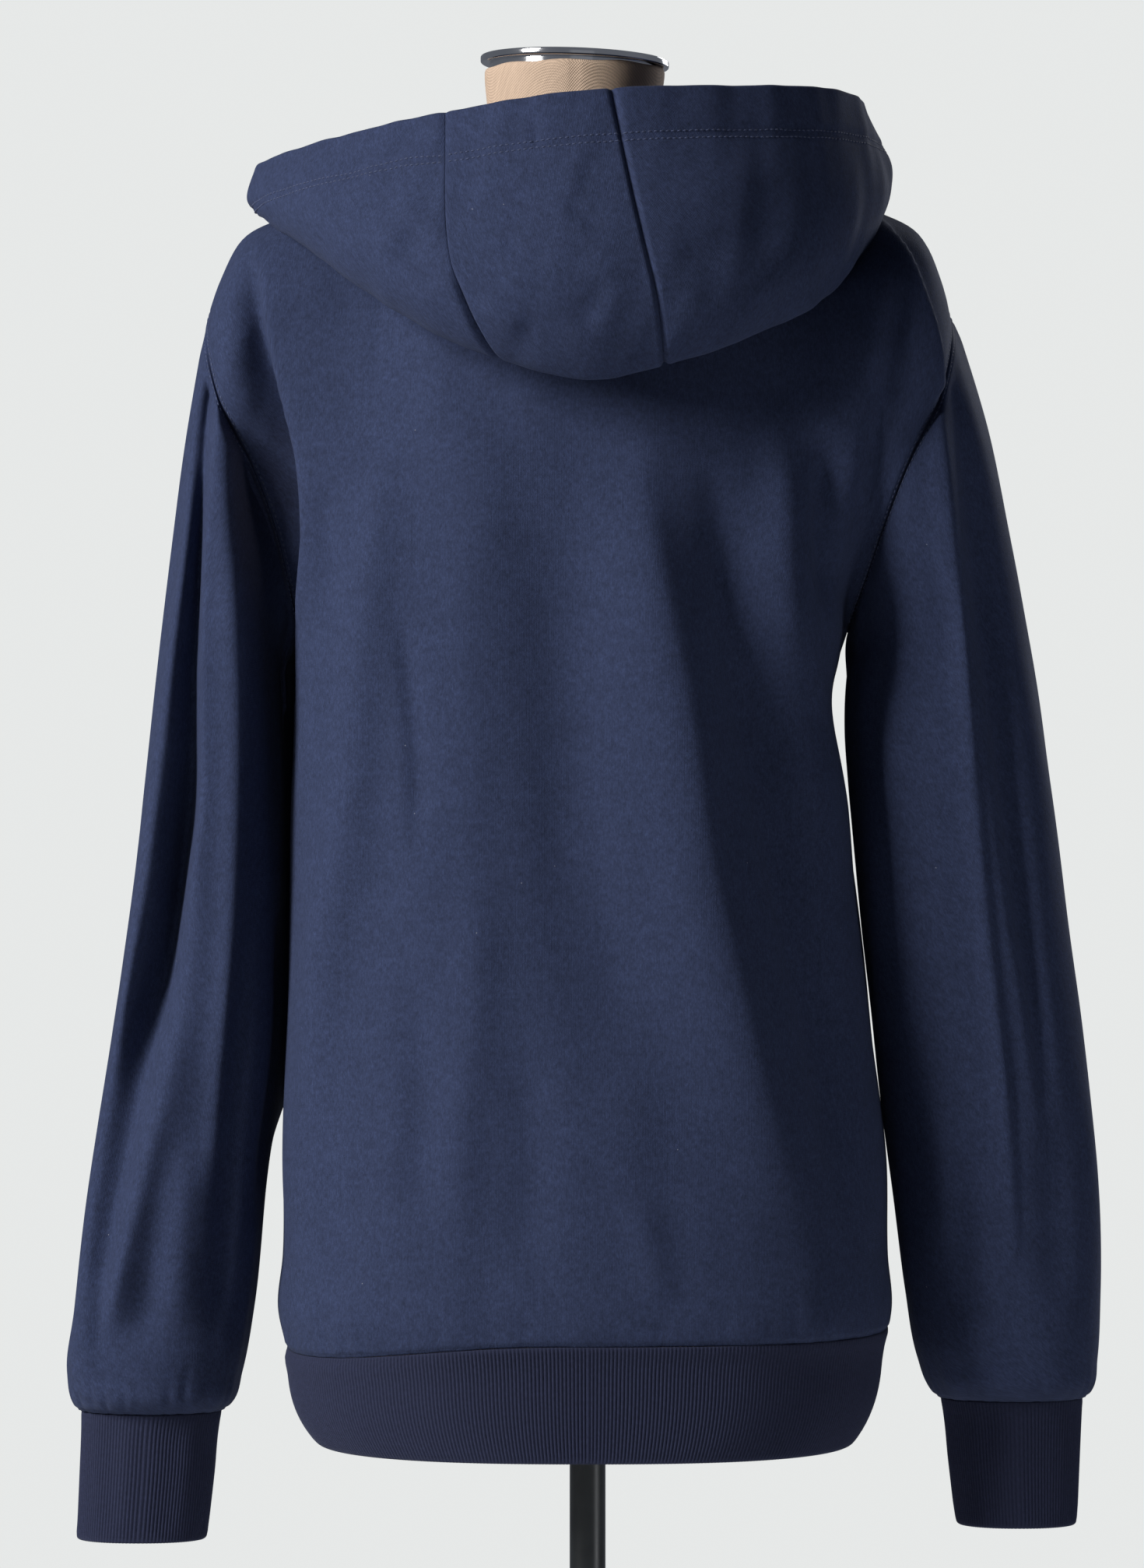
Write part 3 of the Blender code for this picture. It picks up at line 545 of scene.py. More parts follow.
grooves = {
    # depth and half width of the valley where cloth turns down into a seam, or under a row of stitches
    "side": (0.9, 1.2),
    "armhole": (0.9, 1.2),
    "shoulder": (0.8, 1.2),
    "hem": (1.4, 2),
    "cuff": (1.2, 1.8),
    "flat": (0.5, 1),
    "open": (3.4, 1.9),
    "deep": (2.3, 1.5),
    "stitches": (0.55, 0.8),
    "brimStitches": (0.5, 0.8),
}


def groove(distance, kind):
    depth, width = grooves[kind]
    return -depth * np.exp(-((distance / width) ** 2))


body = {
    "halfGirth": 480,
    "sideSeam": 385,
    "yoke": 225,
    "cloth": 2,
    "underarm": 1133,
    "columnPitch": 2.9,
    "rowPitch": 3,
    "yokePitch": 2.5,
    "armholeReach": 0.35,  # the share of the yoke that keeps clear of the armhole's line
    "ripples": (26, 120, 1.5),  # shortest, longest, height
    "hemGathers": (16, 17, 1.3),  # pitch, reach, height
    "hemTop": 754,
    "hemLeftDrop": 11,
    "sections": (
        # height, left, right, back, front, squareness
        (742, 164, 161, 126, 116, 2.6),
        (762, 168.5, 165.5, 131.5, 121.5, 2.6),
        (792, 166, 163.5, 131, 121, 2.6),
        (843, 165.4, 162.8, 129, 120, 2.5),
        (915, 162, 154, 125, 119, 2.4),
        (977, 162, 146.5, 121, 119, 2.4),
        (1032, 161, 139, 118, 121, 2.4),
        (1091, 157, 130, 118, 125, 2.4),
        (1133, 157, 142, 119, 127, 2.4),
    ),
    "armhole": (
        # height, left, right, front, left back, right back, where a fold stands on the seam
        (1133, 157, 142, 0, 0, 0),
        (1158, 162, 150, -27, 22, 30),
        (1190, 170, 160, -40, 28, 56),
        (1222, 182, 172, -45, 35, 69),
        (1254, 198, 188, -40, 42, 65),
        (1284, 206, 196, -24, 31, 40),
        (1303, 207, 198, 0, 0, 0),
    ),
    "shoulder": (
        # share from the neck, left, right, left height, right height
        (0.00, 88, 84, 1378, 1380),
        (0.28, 130, 124, 1368, 1370),
        (0.54, 167, 158, 1356.5, 1360),
        (0.72, 189, 181, 1344, 1347),
        (0.86, 200, 191, 1323, 1326),
        (1.00, 207, 198, 1303, 1303),
    ),
    "neckShare": 0.5,
    "neckBack": (62, 1366),
    "neckFront": (-80, 1332),
    "neckDip": 2.2,
    "backCreases": (
        # half width towards the left, half width towards the right, depth, path
        (17, 4, -36, ((180, 1325, 0.1), (177, 1297, 0.35), (172, 1272, 0.5), (165, 1245, 0.75),
            (160, 1215, 1), (158, 1180, 1), (158, 1130, 0.4), (158, 1090, 0))),
        (7, 20, 5, ((176, 1300), (167, 1262), (157, 1222), (151, 1170), (150, 1090), (152, 1000))),
        (15, 12, 8, ((106, 1240), (111, 1200), (115, 1153), (120, 1104), (127, 1030), (138, 964),
            (145, 910), (151, 840), (152, 790))),
        (5, 8, -3.6, ((100, 1150), (95, 1100), (91, 1055), (91, 1000))),
        (8, 7, -2.6, ((138, 1215), (139, 1180), (134, 1130))),
        (32, 24, -9, ((12, 1260), (11, 1160), (8, 1092), (2, 1010), (-16, 929), (-32, 860))),
        (26, 14, 9.5, ((-22, 1255), (-26, 1200), (-36, 1152), (-49, 1091), (-61, 1010), (-79, 929),
            (-99, 847), (-112, 790))),
        (13, 15, -10.5, ((-62, 1250), (-69, 1193), (-74, 1152), (-86, 1091), (-104, 1010), (-122, 929),
            (-137, 847), (-146, 790))),
        (13, 12, 7.5, ((-98, 1260), (-103, 1214), (-106, 1152), (-116, 1095), (-128, 1040), (-140, 980))),
        (8, 12, -8, ((-128, 1240), (-126, 1205), (-128, 1165), (-136, 1130))),
        (10, 11, -10, ((-162, 1308, 0), (-160, 1275, 0.6), (-157, 1240, 1), (-153, 1205, 1),
            (-148, 1170, 0.9), (-143, 1138, 0.5), (-140, 1110, 0))),
        (28, 4.5, 13, ((-158, 1350, 0.2), (-168, 1322, 1), (-176, 1292, 1), (-181, 1272, 0.8),
            (-186, 1252, 0.3), (-189, 1236, 0))),
        (14, 12, 3.4, ((64, 1010), (60, 940), (66, 860), (62, 800))),
        (12, 12, -3, ((94, 960), (88, 880), (92, 800))),
        (12, 14, -2.6, ((36, 920), (30, 850), (38, 782))),
        (10, 10, 2.2, ((-22, 840), (-34, 800), (-38, 772))),
        (12, 9, -2.4, ((118, 850), (128, 806), (121, 770))),
        (16, 16, 2.4, ((86, 1300), (70, 1250), (58, 1190), (60, 1130))),
    ),
    "frontCreases": (
        (12, 7, -8, ((-182, 1312), (-168, 1262), (-152, 1208), (-140, 1150))),
        (14, 7, -8, ((186, 1312), (178, 1268), (164, 1220), (156, 1160))),
        (20, 24, -7, ((92, 1245), (104, 1120), (122, 960), (130, 830))),
        (17, 22, 5.5, ((48, 1180), (58, 1040), (76, 850))),
        (26, 24, -5, ((-30, 1110), (-36, 960), (-46, 815))),
        (18, 20, 6.5, ((-96, 1240), (-112, 1080), (-136, 850))),
        (14, 18, 3.4, ((-60, 1250), (-40, 1180), (-10, 1140), (26, 1150))),
        (16, 20, -3.6, ((60, 1270), (36, 1220), (0, 1196), (-40, 1214))),
        (9, 10, -3, ((118, 1180), (120, 1120), (114, 1060))),
        (12, 12, 3, ((-8, 980), (4, 900), (-2, 820))),
        (12, 14, -2.4, ((110, 880), (98, 820), (104, 772))),
        (12, 12, -2.6, ((-88, 900), (-80, 840), (-90, 776))),
    ),
}


def hemLine(theta):
    return body["hemTop"] - body["hemLeftDrop"] * ease(np.cos(theta))


def bodyRing(z, theta):
    left, right, back, front, squareness = read(body["sections"], z)
    x, y = oval(theta, left, right, back, front, squareness)
    return points(x, y, z)


def armholeAt(share, side, face):
    table = np.array(body["armhole"])
    z, left, right, front, *backs = np.moveaxis(smooth(share, np.linspace(0, 1, len(table)), table), -1, 0)
    return points(left if side > 0 else -right, backs[side < 0] if face > 0 else front, z)


def topLine(share, face):
    # Neckline and shoulder seams, from the right tip (-1) over the neck to the left tip (1).
    reach = np.abs(share)
    turn = np.clip(reach / body["neckShare"], 0, 1) * math.pi / 2
    along = np.clip((reach - body["neckShare"]) / (1 - body["neckShare"]), 0, 1)
    left, right, leftZ, rightZ = read(body["shoulder"], along)
    out = np.where(share > 0, left, right) * np.where(reach < body["neckShare"], np.sin(turn), 1.0)
    sideZ = np.where(share > 0, leftZ, rightZ)
    midY, midZ = body["neckBack"] if face > 0 else body["neckFront"]
    z = sideZ + (midZ - sideZ) * np.cos(turn) ** body["neckDip"]
    return points(np.sign(share) * out, midY * np.cos(turn), z)


def edgeColumn(side, face):  # where a body panel's grid meets the left (1) or right (-1) sleeve
    return 0 if side * face > 0 else -1


lowRise = spaced(body["sideSeam"], body["rowPitch"], seam)  # from the hem seam to the underarm
lowRows = len(lowRise) - 1


def bodyFace(face):
    place = spaced(body["halfGirth"], body["columnPitch"], seam, seam)
    theta = math.pi * place + (math.pi if face < 0 else 0.0)
    share = (1 - 2 * place) * face
    hem = hemLine(theta)[None, :]
    lower = bodyRing(hem + (body["underarm"] - hem) * lowRise[:, None], theta[None, :])
    start = lower[-1]
    end = topLine(share, face)
    rise = spaced(body["yoke"], body["yokePitch"], (0.0,), seam)[1:, None, None]
    yoke = end + (start - end) * np.cos(rise * math.pi / 2)
    yoke[..., 2] = start[:, 2] + (end[:, 2] - start[:, 2]) * np.sin(rise[..., 0] * math.pi / 2)
    for side in (1, -1):
        column = edgeColumn(side, face)
        weight = ease((share * side - body["armholeReach"]) / (1 - body["armholeReach"]))[None, :, None]
        yoke += (armholeAt(rise[:, 0, 0], side, face) - yoke[:, column])[:, None, :] * weight
    grid = np.concatenate([lower, yoke])
    x, z = grid[..., 0], grid[..., 2]
    fade = ease((1 - np.abs(share)) / 0.04)[None, :]
    rows = body["backCreases"] if face > 0 else body["frontCreases"]
    depth = creases(x, z, rows) + ripples(x, z * 0.35, 11 + face, *body["ripples"])
    fromHem = runAlong(grid, 0)
    along = np.broadcast_to(runAlong(grid, 1)[:1], x.shape)
    depth += gathers(along, fromHem, 3 + face, *body["hemGathers"])
    fromTop = fromHem[-1:] - fromHem
    depth *= fade * ease(fromTop / 14) * (0.25 + 0.75 * ease(fromHem / 10))
    return grid + normals(grid, False) * depth[..., None]


def panelEdges(grid):
    across, up = runAlong(grid, 1), runAlong(grid, 0)
    return across, across[:, -1:] - across, up, up[-1:] - up


def flatFacing(facing, row, axis):  # a free end or seam end is cut square
    facing[row, :, axis] = 0.0
    facing[row] = unit(facing[row])


sleeves = {
    "length": 560,
    "cloth": 2,
    "squareness": 2.2,
    "capDepth": 150,
    "pitDepth": 30,
    "rowPitch": 3,
    "perDegree": 0.82,  # mm of cloth in a degree round the sleeve
    "ripples": (24, 110, 1.5),
    "cuffGathers": (9.5, 15, 1.8),
    "left": (
        # height, outer, inner, back, front
        (707, 279, 197, 24, -40),
        (712, 281.5, 193, 31, -47),
        (727, 284, 188.8, 36, -53),
        (763, 279.5, 182.3, 38, -56),
        (825, 273, 175.5, 41, -57),
        (914, 259.5, 164.3, 44, -58),
        (984, 248.5, 163.8, 47, -58),
        (1050, 240.8, 163.6, 50, -58),
        (1115, 233.2, 165.5, 54, -58),
        (1178, 225, 168, 55, -58),
        (1243, 217, 182, 46, -50),
        (1303, 207.6, 199, 16, -18),
    ),
    "right": (
        (714, 273, 190, 24, -40),
        (719, 276, 186.5, 31, -47),
        (735, 278.5, 180.5, 37, -54),
        (771, 280, 173.4, 40, -57),
        (838, 278, 164.9, 43, -59),
        (915, 269.8, 156, 46, -60),
        (977, 261, 148.6, 49, -60),
        (1050, 251.5, 142.2, 52, -60),
        (1105, 243.5, 142, 55, -60),
        (1178, 230.5, 158, 56, -60),
        (1243, 217.5, 174, 47, -51),
        (1303, 198.6, 190, 16, -18),
    ),
    # Seen from behind, as (reach, height).
    "leftBack": (
        (4.5, 2.6, -8, ((198, 1288, 0.2), (200, 1265, 0.9), (203, 1240, 1), (206, 1195, 0.9),
            (209, 1150, 0.5), (211, 1110, 0))),
        (11, 3.4, -22, ((203, 1268, 0.1), (206, 1240, 0.35), (209, 1176, 0.6), (212, 1110, 0.9),
            (213, 1040, 1), (218, 1000, 0.8), (224, 960, 0.4), (229, 930, 0))),
        (20, 9, -26, ((214, 1070, 0), (220, 1010, 0.6), (228, 950, 0.9), (240, 895, 1), (250, 850, 1),
            (257, 812, 0.8), (263, 775, 0.5), (267, 740, 0))),
        (5, 12, 13, ((212, 1225, 0), (219, 1165, 0.6), (227, 1110, 0.9), (235, 1050, 1), (243, 990, 1),
            (252, 930, 0.6), (260, 880, 0))),
        (7, 20, 20, ((243, 1000, 0), (252, 925, 0.7), (262, 865, 1), (270, 810, 1), (275, 765, 0.9),
            (279, 735, 0.3))),
        (3.6, 18, 4, ((203, 1262), (204, 1200), (205, 1130), (207, 1050), (211, 995), (217, 940))),
        (12, 7, 11, ((196, 1262, 0.2), (192, 1222, 1), (189, 1165, 1), (187, 1110, 0.8), (187, 1050, 0.75),
            (190, 970, 0.7), (198, 880, 0.4), (204, 800, 0.15))),
        (7, 13, -20, ((186, 1248, 0), (183, 1222, 0.7), (178, 1190, 1), (174, 1150, 1), (171, 1100, 0.8),
            (170, 1050, 0.4), (170, 1000, 0))),
        (10, 16, 5.5, ((222, 940), (231, 900), (243, 835), (252, 780), (258, 752))),
        (11, 11, -4, ((222, 880), (229, 830), (237, 775), (240, 738))),
        (12, 13, 3.6, ((212, 860), (219, 800), (222, 745))),
        (12, 10, -3, ((196, 860), (198, 800), (194, 745))),
    ),
    "rightBack": (
        (4, 12, 7, ((184, 1275, 0.2), (188, 1240, 1), (192, 1212, 1), (197, 1170, 0.9), (202, 1130, 0.6),
            (207, 1060, 0.4), (214, 980, 0.4), (224, 890, 0.5), (230, 800, 0.2))),
        (13, 5, -11, ((193, 1275, 0.1), (200, 1225, 0.9), (206, 1180, 1), (213, 1120, 1), (221, 1060, 0.9),
            (230, 990, 0.8), (240, 920, 0.5), (248, 850, 0))),
        (9, 8, -4.5, ((158, 1180), (153, 1120), (150, 1060), (151, 1000))),
        (12, 12, 3, ((186, 900), (190, 840), (186, 780))),
        (10, 9, -4, ((206, 860), (204, 800), (212, 750))),
        (12, 11, -3.6, ((254, 880), (251, 820), (256, 752))),
    ),
    # All round, as (bearing in degrees, height): 0 faces out, 90 back, 180 the body and 270 front.
    "leftAround": (
        (10, 10, 13, ((212, 1180), (212, 1110), (210, 1000), (208, 900), (206, 830))),
        (16, 18, -7, ((300, 1190), (296, 1000), (288, 780))),
        (12, 14, 4, ((262, 1150), (258, 960), (250, 820))),
        (10, 12, -4, ((330, 960), (320, 860), (322, 760))),
        (10, 12, -5, ((168, 1000), (166, 900), (160, 800))),
    ),
    "rightAround": (
        (12, 12, -5, ((196, 1080), (200, 960), (205, 820))),
        (16, 18, -7, ((292, 1190), (296, 1000), (302, 790))),
        (12, 14, 4, ((256, 1160), (252, 980), (246, 830))),
        (10, 12, -4, ((330, 1000), (322, 900), (326, 780))),
    ),
}


def armRing(table, bearing, z):  # the section of a sleeve or a cuff
    outer, inner, back, front = read(table, z)
    wide, deep = (outer - inner) / 2, (back - front) / 2
    x, y = oval(bearing, wide, wide, deep, deep, sleeves["squareness"])
    return points((outer + inner) / 2 + x, (back + front) / 2 + y, z)


def armhole(panels, side):  # the seam's loop from the shoulder tip, down the back and up the front
    back, front = (panels[face][lowRows:, edgeColumn(side, face)] for face in (1, -1))
    return np.concatenate([back[::-1], front[1:-1]])


def sleeveGrid(name, side, faces):
    # Rows run from the cuff seam to the armhole. Columns start at the shoulder tip and go round by the back.
    loop = armhole(faces, side)
    loop[:, 0] = np.abs(loop[:, 0])
    step = np.linalg.norm(np.diff(np.concatenate([loop, loop[:1]]), axis=0), axis=1)
    run = running(step)
    bearing = 2 * math.pi * run[:-1] / run[-1]
    foot = min(sleeves[name])[0]
    share = spaced(sleeves["length"], sleeves["rowPitch"], seam, seam)[:, None]
    z = foot + (loop[None, :, 2] - foot) * share
    grid = armRing(sleeves[name], bearing[None, :], z)
    drop = (loop[None, :, 2] - z)[..., None]
    out = ((1 + np.cos(bearing)) / 2)[None, :, None] ** 0.7
    settle = sleeves["pitDepth"] + (sleeves["capDepth"] - sleeves["pitDepth"]) * out
    grid = grid + (loop - armRing(sleeves[name], bearing, loop[:, 2]))[None] * ease(1 - drop / settle)
    scale = sleeves["perDegree"]
    arc = np.degrees(bearing)[None, :] * scale + 0 * z
    around = [(a, b, d, [(p * scale, q) for p, q in path]) for a, b, d, path in sleeves[name + "Around"]]
    depth = creases(arc, z, around)
    middle = (grid[..., 1].max(axis=1) + grid[..., 1].min(axis=1))[:, None] / 2
    behind = ease((grid[..., 1] - middle - 2) / 14) * ease(drop[..., 0] / 12)
    pressed = creases(grid[..., 0], grid[..., 2], sleeves[name + "Back"]) * behind
    rounded = (np.cos(bearing) * 45 + np.sin(bearing) * 70)[None, :]
    depth += ripples(rounded, z * 0.4, 31 + side, *sleeves["ripples"])
    depth += gathers(arc, z - foot, 41 + side, *sleeves["cuffGathers"])
    depth *= ease(drop[..., 0] / 16) * (0.2 + 0.8 * ease((z - foot) / 9))
    grid = grid + normals(grid, True) * depth[..., None]
    grid[..., 1] += pressed
    return grid


def mirrored(grid):
    flipped = grid * np.array((-1.0, 1.0, 1.0))
    return np.concatenate([flipped[:, :1], flipped[:, :0:-1]], axis=1)


def shareFacing(facing, facings, side):  # both sides of an armhole seam lean the same way
    flip = np.array((float(side), 1.0, 1.0))
    shared = unit(facing[-1] + armhole(facings, side) * flip)
    facing[-1] = shared
    rows = len(facings[1]) - lowRows
    facings[1][lowRows:, edgeColumn(side, 1)] = (shared[:rows] * flip)[::-1]
    facings[-1][lowRows:, edgeColumn(side, -1)] = np.concatenate([shared[rows - 1:], shared[:1]]) * flip


def squareEnds(facing):  # side seams lean straight out, hem and shoulder seams are cut square
    for column in (0, -1):
        facing[:lowRows, column, 1] = 0.0
        facing[:lowRows, column] = unit(facing[:lowRows, column])
    flatFacing(facing, 0, 2)
    flatFacing(facing, -1, 1)


def bodyPanel(name, node, face, grid, facing):
    left, right, hem, top = panelEdges(grid)
    yokeOnly = (np.arange(len(grid)) >= lowRows)[:, None]
    depth = groove(np.minimum(left, right), "side") + groove(top, "shoulder") + groove(hem, "hem")
    rows = [groove(distance - sewing["dentGap"], "stitches") for distance in (left, right)]
    depth += (rows[0] + rows[1]) * yokeOnly
    outer = grid + facing * depth[..., None]
    for edge in ("left", "right"):
        stitch(*seamLine(outer[lowRows:], facing[lowRows:], edge, sewing["seamGap"]), 5 + face, 3.0)
    return dress(clothWall(name, outer, outer - facing * body["cloth"], False), node)


def sleevePiece(name, node, side, grid, facing):
    up = runAlong(grid, 0)
    top = up[-1:] - up
    depth = groove(top, "armhole") + groove(up, "cuff") + groove(top - sewing["dentGap"], "stitches")
    outer = grid + facing * depth[..., None]
    inner = outer - facing * sleeves["cloth"]
    if side < 0:
        outer, inner, facing = mirrored(outer), mirrored(inner), mirrored(facing)
    stitch(*seamLine(outer, facing, "top", sewing["seamGap"], True), 9 + side)
    return dress(clothWall(name, outer, inner, True), node)


def buildTorso():
    faces = {face: bodyFace(face) for face in (1, -1)}
    facings = {face: normals(faces[face], False) for face in (1, -1)}
    arms = {}
    for name, side in (("left", 1), ("right", -1)):
        grid = sleeveGrid(name, side, faces)
        facing = normals(grid, True)
        flatFacing(facing, 0, 2)
        shareFacing(facing, facings, side)
        arms[name] = (side, grid, facing)
    made = {}
    for face, name, node in ((1, "backPanel", "back_panel"), (-1, "frontPanel", "front_panel")):
        squareEnds(facings[face])
        made[name] = bodyPanel(name, node, face, faces[face], facings[face])
    for name, arm in arms.items():
        title = "sleeve" + name.capitalize()
        made[title] = sleevePiece(title, "sleeve_" + name, *arm)
    made["bodyStitches"] = gatherStitches("bodyStitches")
    return made


torso = buildTorso()
print("body and sleeves made")


ribs = {
    "hemHeight": 61,
    "cuffHeight": 69,
    "knit": 2.6,
    "relief": 0.8,
    "rowPitch": 3.6,
    "ripples": (30, 120, 0.8),
    "profile": (-0.5, 0.25, 0.5, 0.25),
    "hemCount": 460,
    "cuffCount": 118,
    "hemBottom": 693,
    "hemSideTuck": 15,
    "hemFaceTuck": 4,
    "cuffs": {
        "left": (
            # height, outer, inner, back, front
            (706.7, 276, 200, 21, -37),
            (700, 276, 201.5, 20.5, -35.5),
            (672, 277, 204.3, 20, -33),
            (638, 278.6, 208, 19, -32),
        ),
        "right": (
            (713.7, 270, 193, 21, -37),
            (707, 269.5, 194.5, 20.5, -35.5),
            (680, 268, 197.5, 20, -33),
            (646, 266.5, 201.4, 19, -32),
        ),
    },
}


bandEnd = (0.0, 1.2, 2.6)  # spacing at the ends of a band


def ribbed(ring, count, seed):
    # A plain ring of knit with its ribs raised, the count as on the real band.
    steps = len(ribs["profile"])
    columns = steps * count
    turn = bearings(columns)
    base = ring(turn)
    facing = normals(base, True)
    facing[..., 2] = 0.0
    facing = unit(facing)
    up = runAlong(base, 0)
    across, deep = np.cos(turn)[None, :] * 90, np.sin(turn)[None, :] * 90
    sway = ripples(across, deep + up * 0.3, seed, *ribs["ripples"])
    height = np.tile(np.array(ribs["profile"]), count)[None, :] * ribs["relief"]
    settle = 0.35 + 0.65 * ease(np.minimum(up, up[-1:] - up) / 2.5)
    calm = ease(up / 12) * ease((up[-1:] - up) / 12)
    outer = base + facing * (height * settle + sway * calm)[..., None]
    inner = base + facing * (sway * calm - ribs["knit"])[..., None]
    return outer, inner


def evenTurn(theta, ring):
    fine = np.linspace(0.0, 2 * math.pi, 1441)
    x, y = ring(fine)
    run = running(np.hypot(np.diff(x), np.diff(y)))
    return np.interp(theta / (2 * math.pi) * run[-1], run, fine)


def hemRing(theta):
    left, right, back, front, squareness = (float(v) for v in read(body["sections"], body["hemTop"] - 9))
    turn = evenTurn(theta, lambda t: oval(t, left, right, back, front, squareness))
    top = hemLine(turn)
    seamRing = bodyRing(top, turn)
    levels = []
    for share in spaced(ribs["hemHeight"], ribs["rowPitch"], bandEnd, bandEnd):  # from the foot up
        low = 1 - share
        side = ribs["hemSideTuck"] * low**3 + 2.0 * ease(low * 3)
        face = ribs["hemFaceTuck"] * low**2 + 1.6 * ease(low * 3)
        x, y = oval(turn, left - side, right - side, back - face, front - face, squareness)
        hold = float(ease((share - 0.85) / 0.15))
        level = points(x, y, ribs["hemBottom"] + (top - 0.2 - ribs["hemBottom"]) * share)
        level[..., :2] = level[..., :2] * (1 - hold) + seamRing[..., :2] * 0.993 * hold
        levels.append(level)
    return np.stack(levels)


def cuffRing(name):
    table = sorted(ribs["cuffs"][name])
    foot, top = table[0][0], table[-1][0]
    levels = spaced(ribs["cuffHeight"], ribs["rowPitch"], bandEnd, bandEnd)
    return lambda theta: np.stack([armRing(table, theta, foot + (top - foot) * share) for share in levels])


def bandPiece(name, node, outer, inner):
    return dress(clothWall(name, outer, inner, True, (True, False), [rib, rib]), node)


def buildRibs():
    made = {"hemBand": bandPiece("hemBand", "hem_band", *ribbed(hemRing, ribs["hemCount"], 51))}
    for name, side in (("left", 1), ("right", -1)):
        outer, inner = ribbed(cuffRing(name), ribs["cuffCount"], 60 + side)
        if side < 0:
            outer, inner = mirrored(outer), mirrored(inner)
        title = "cuff" + name.capitalize()
        made[title] = bandPiece(title, "cuff_" + name, outer, inner)
    return made


bands = buildRibs()
print("rib bands made")


hood = {
    "section": 300,  # length of cloth from the neck seam over the fold to the brim
    "cloth": 2.2,
    "brimCloth": 3.4,
    "brimHem": 24,
    "brimStep": 0.9,
    "openBelow": 0.78,  # the share of the section below which the left seam of the strip gapes
    "neckGap": 1,
    "knots": (0, 0.24, 0.5, 0.76, 1),
    "seams": {"left": (17, 29.5), "right": (-17, -4.6)},
    "front": (179, 168),
    "seamTurn": 0.45,
    "rowPitch": 2.2,
    "columnPitch": 2.2,
    "ripples": (14, 70, 1.4),
    "sections": (
        # bearing, lie r, lie z, fold r, fold z, swell r, swell z, brim r, brim z
        (-180, 88, 1339, 95, 1345, 100, 1355, 98, 1368),
        (-150, 100, 1353, 119, 1346, 130, 1358, 123, 1385),
        (-120, 114, 1372, 140, 1353, 153, 1368, 141, 1400),
        (-90, 122, 1379.5, 151, 1368, 163, 1378, 149, 1411),
        (-60, 120, 1366, 150, 1312, 171, 1352, 155, 1415),
        (-30, 115, 1353, 148, 1279, 178, 1322, 152, 1411),
        (0, 110, 1347, 140, 1259, 178, 1310, 154, 1406),
        (30, 116, 1351, 148, 1282, 177, 1318, 152, 1397),
        (60, 124, 1366, 158, 1326, 178, 1350, 162, 1388),
        (90, 132, 1376, 170, 1359.5, 183, 1364.5, 180, 1380.5),
        (120, 116, 1373, 146, 1351, 159, 1359, 152, 1374),
        (150, 102, 1353, 121, 1345, 131, 1354, 125, 1371),
        (180, 88, 1339, 95, 1345, 100, 1354, 98, 1366),
    ),
    # Seen from behind, as (x, z).
    "backCreases": (
        (3, 4.5, -1.1, ((-3, 1380), (1, 1364), (5, 1350), (9, 1338), (12, 1326))),
        (3.6, 3.6, -0.9, ((15, 1350), (9, 1345), (1, 1338), (-8, 1332))),
        (4.4, 4.4, 0.8, ((14, 1343), (8, 1338), (1, 1331), (-6, 1325))),
        (2, 2, -1.3, ((30, 1396), (27, 1385), (29, 1376))),
        (3, 3, -1.3, ((46, 1330), (38, 1322), (28, 1318), (20, 1322))),
        (7, 4, 2.2, ((56, 1300), (44, 1290), (30, 1284))),
        (9, 6, -2.4, ((-8, 1310), (-2, 1294), (6, 1280))),
        (12, 12, 2.4, ((-40, 1276), (-66, 1290), (-98, 1310), (-126, 1326))),
        (11, 11, -1.8, ((-44, 1312), (-72, 1326), (-104, 1338))),
        (12, 12, 1.4, ((-40, 1350), (-72, 1360), (-110, 1368))),
        (6, 6, -1.6, ((-116, 1300), (-126, 1314), (-138, 1324))),
        (5, 4, -1.7, ((140, 1364), (118, 1376), (96, 1384), (74, 1392))),
        (6, 6, 1.8, ((150, 1354), (122, 1362), (98, 1372), (76, 1378))),
        (9, 9, 2.6, ((112, 1322), (96, 1336), (84, 1352))),
        (8, 8, -2.2, ((80, 1300), (88, 1318), (100, 1340))),
    ),
    # All round, as (bearing in degrees, share of the section times 100): 50 is the fold, 100 the brim.
    "creases": (
        (8, 8, 3, ((-76, 80), (-90, 84), (-112, 84))),
        (6, 6, -2.5, ((-100, 74), (-124, 78), (-150, 78))),
        (6, 6, -2.5, ((104, 76), (126, 80), (150, 80))),
    ),
}


brimRows = (hood["brimHem"], hood["brimHem"] + sewing["twinGap"])


def smoothAlong(t, knots, values):  # as smooth, but each column has its own values
    slopes = np.gradient(values, knots, axis=0)
    t = np.clip(np.broadcast_to(t, values.shape[1:]), 0.0, 1.0)
    span = np.clip(np.searchsorted(knots, t, side="right") - 1, 0, len(knots) - 2)
    width = knots[span + 1] - knots[span]
    ends = [np.take_along_axis(table, at[None], axis=0)[0]
            for at in (span, span + 1) for table in (values, slopes)]
    return cubic((t - knots[span]) / width, width, *ends)


def neckline(bearing):
    share = np.linspace(-body["neckShare"], body["neckShare"], 121)
    back = topLine(share, 1)
    front = topLine(-share[1:-1], -1)
    loop = np.concatenate([front[59:], back, front[:60]])
    turn = np.degrees(np.unwrap(np.arctan2(loop[:, 0], loop[:, 1])))
    turn -= 360.0 * round(turn[len(turn) // 2] / 360.0)
    return np.interp(bearing, turn, np.hypot(loop[:, 0], loop[:, 1])), np.interp(bearing, turn, loop[:, 2])


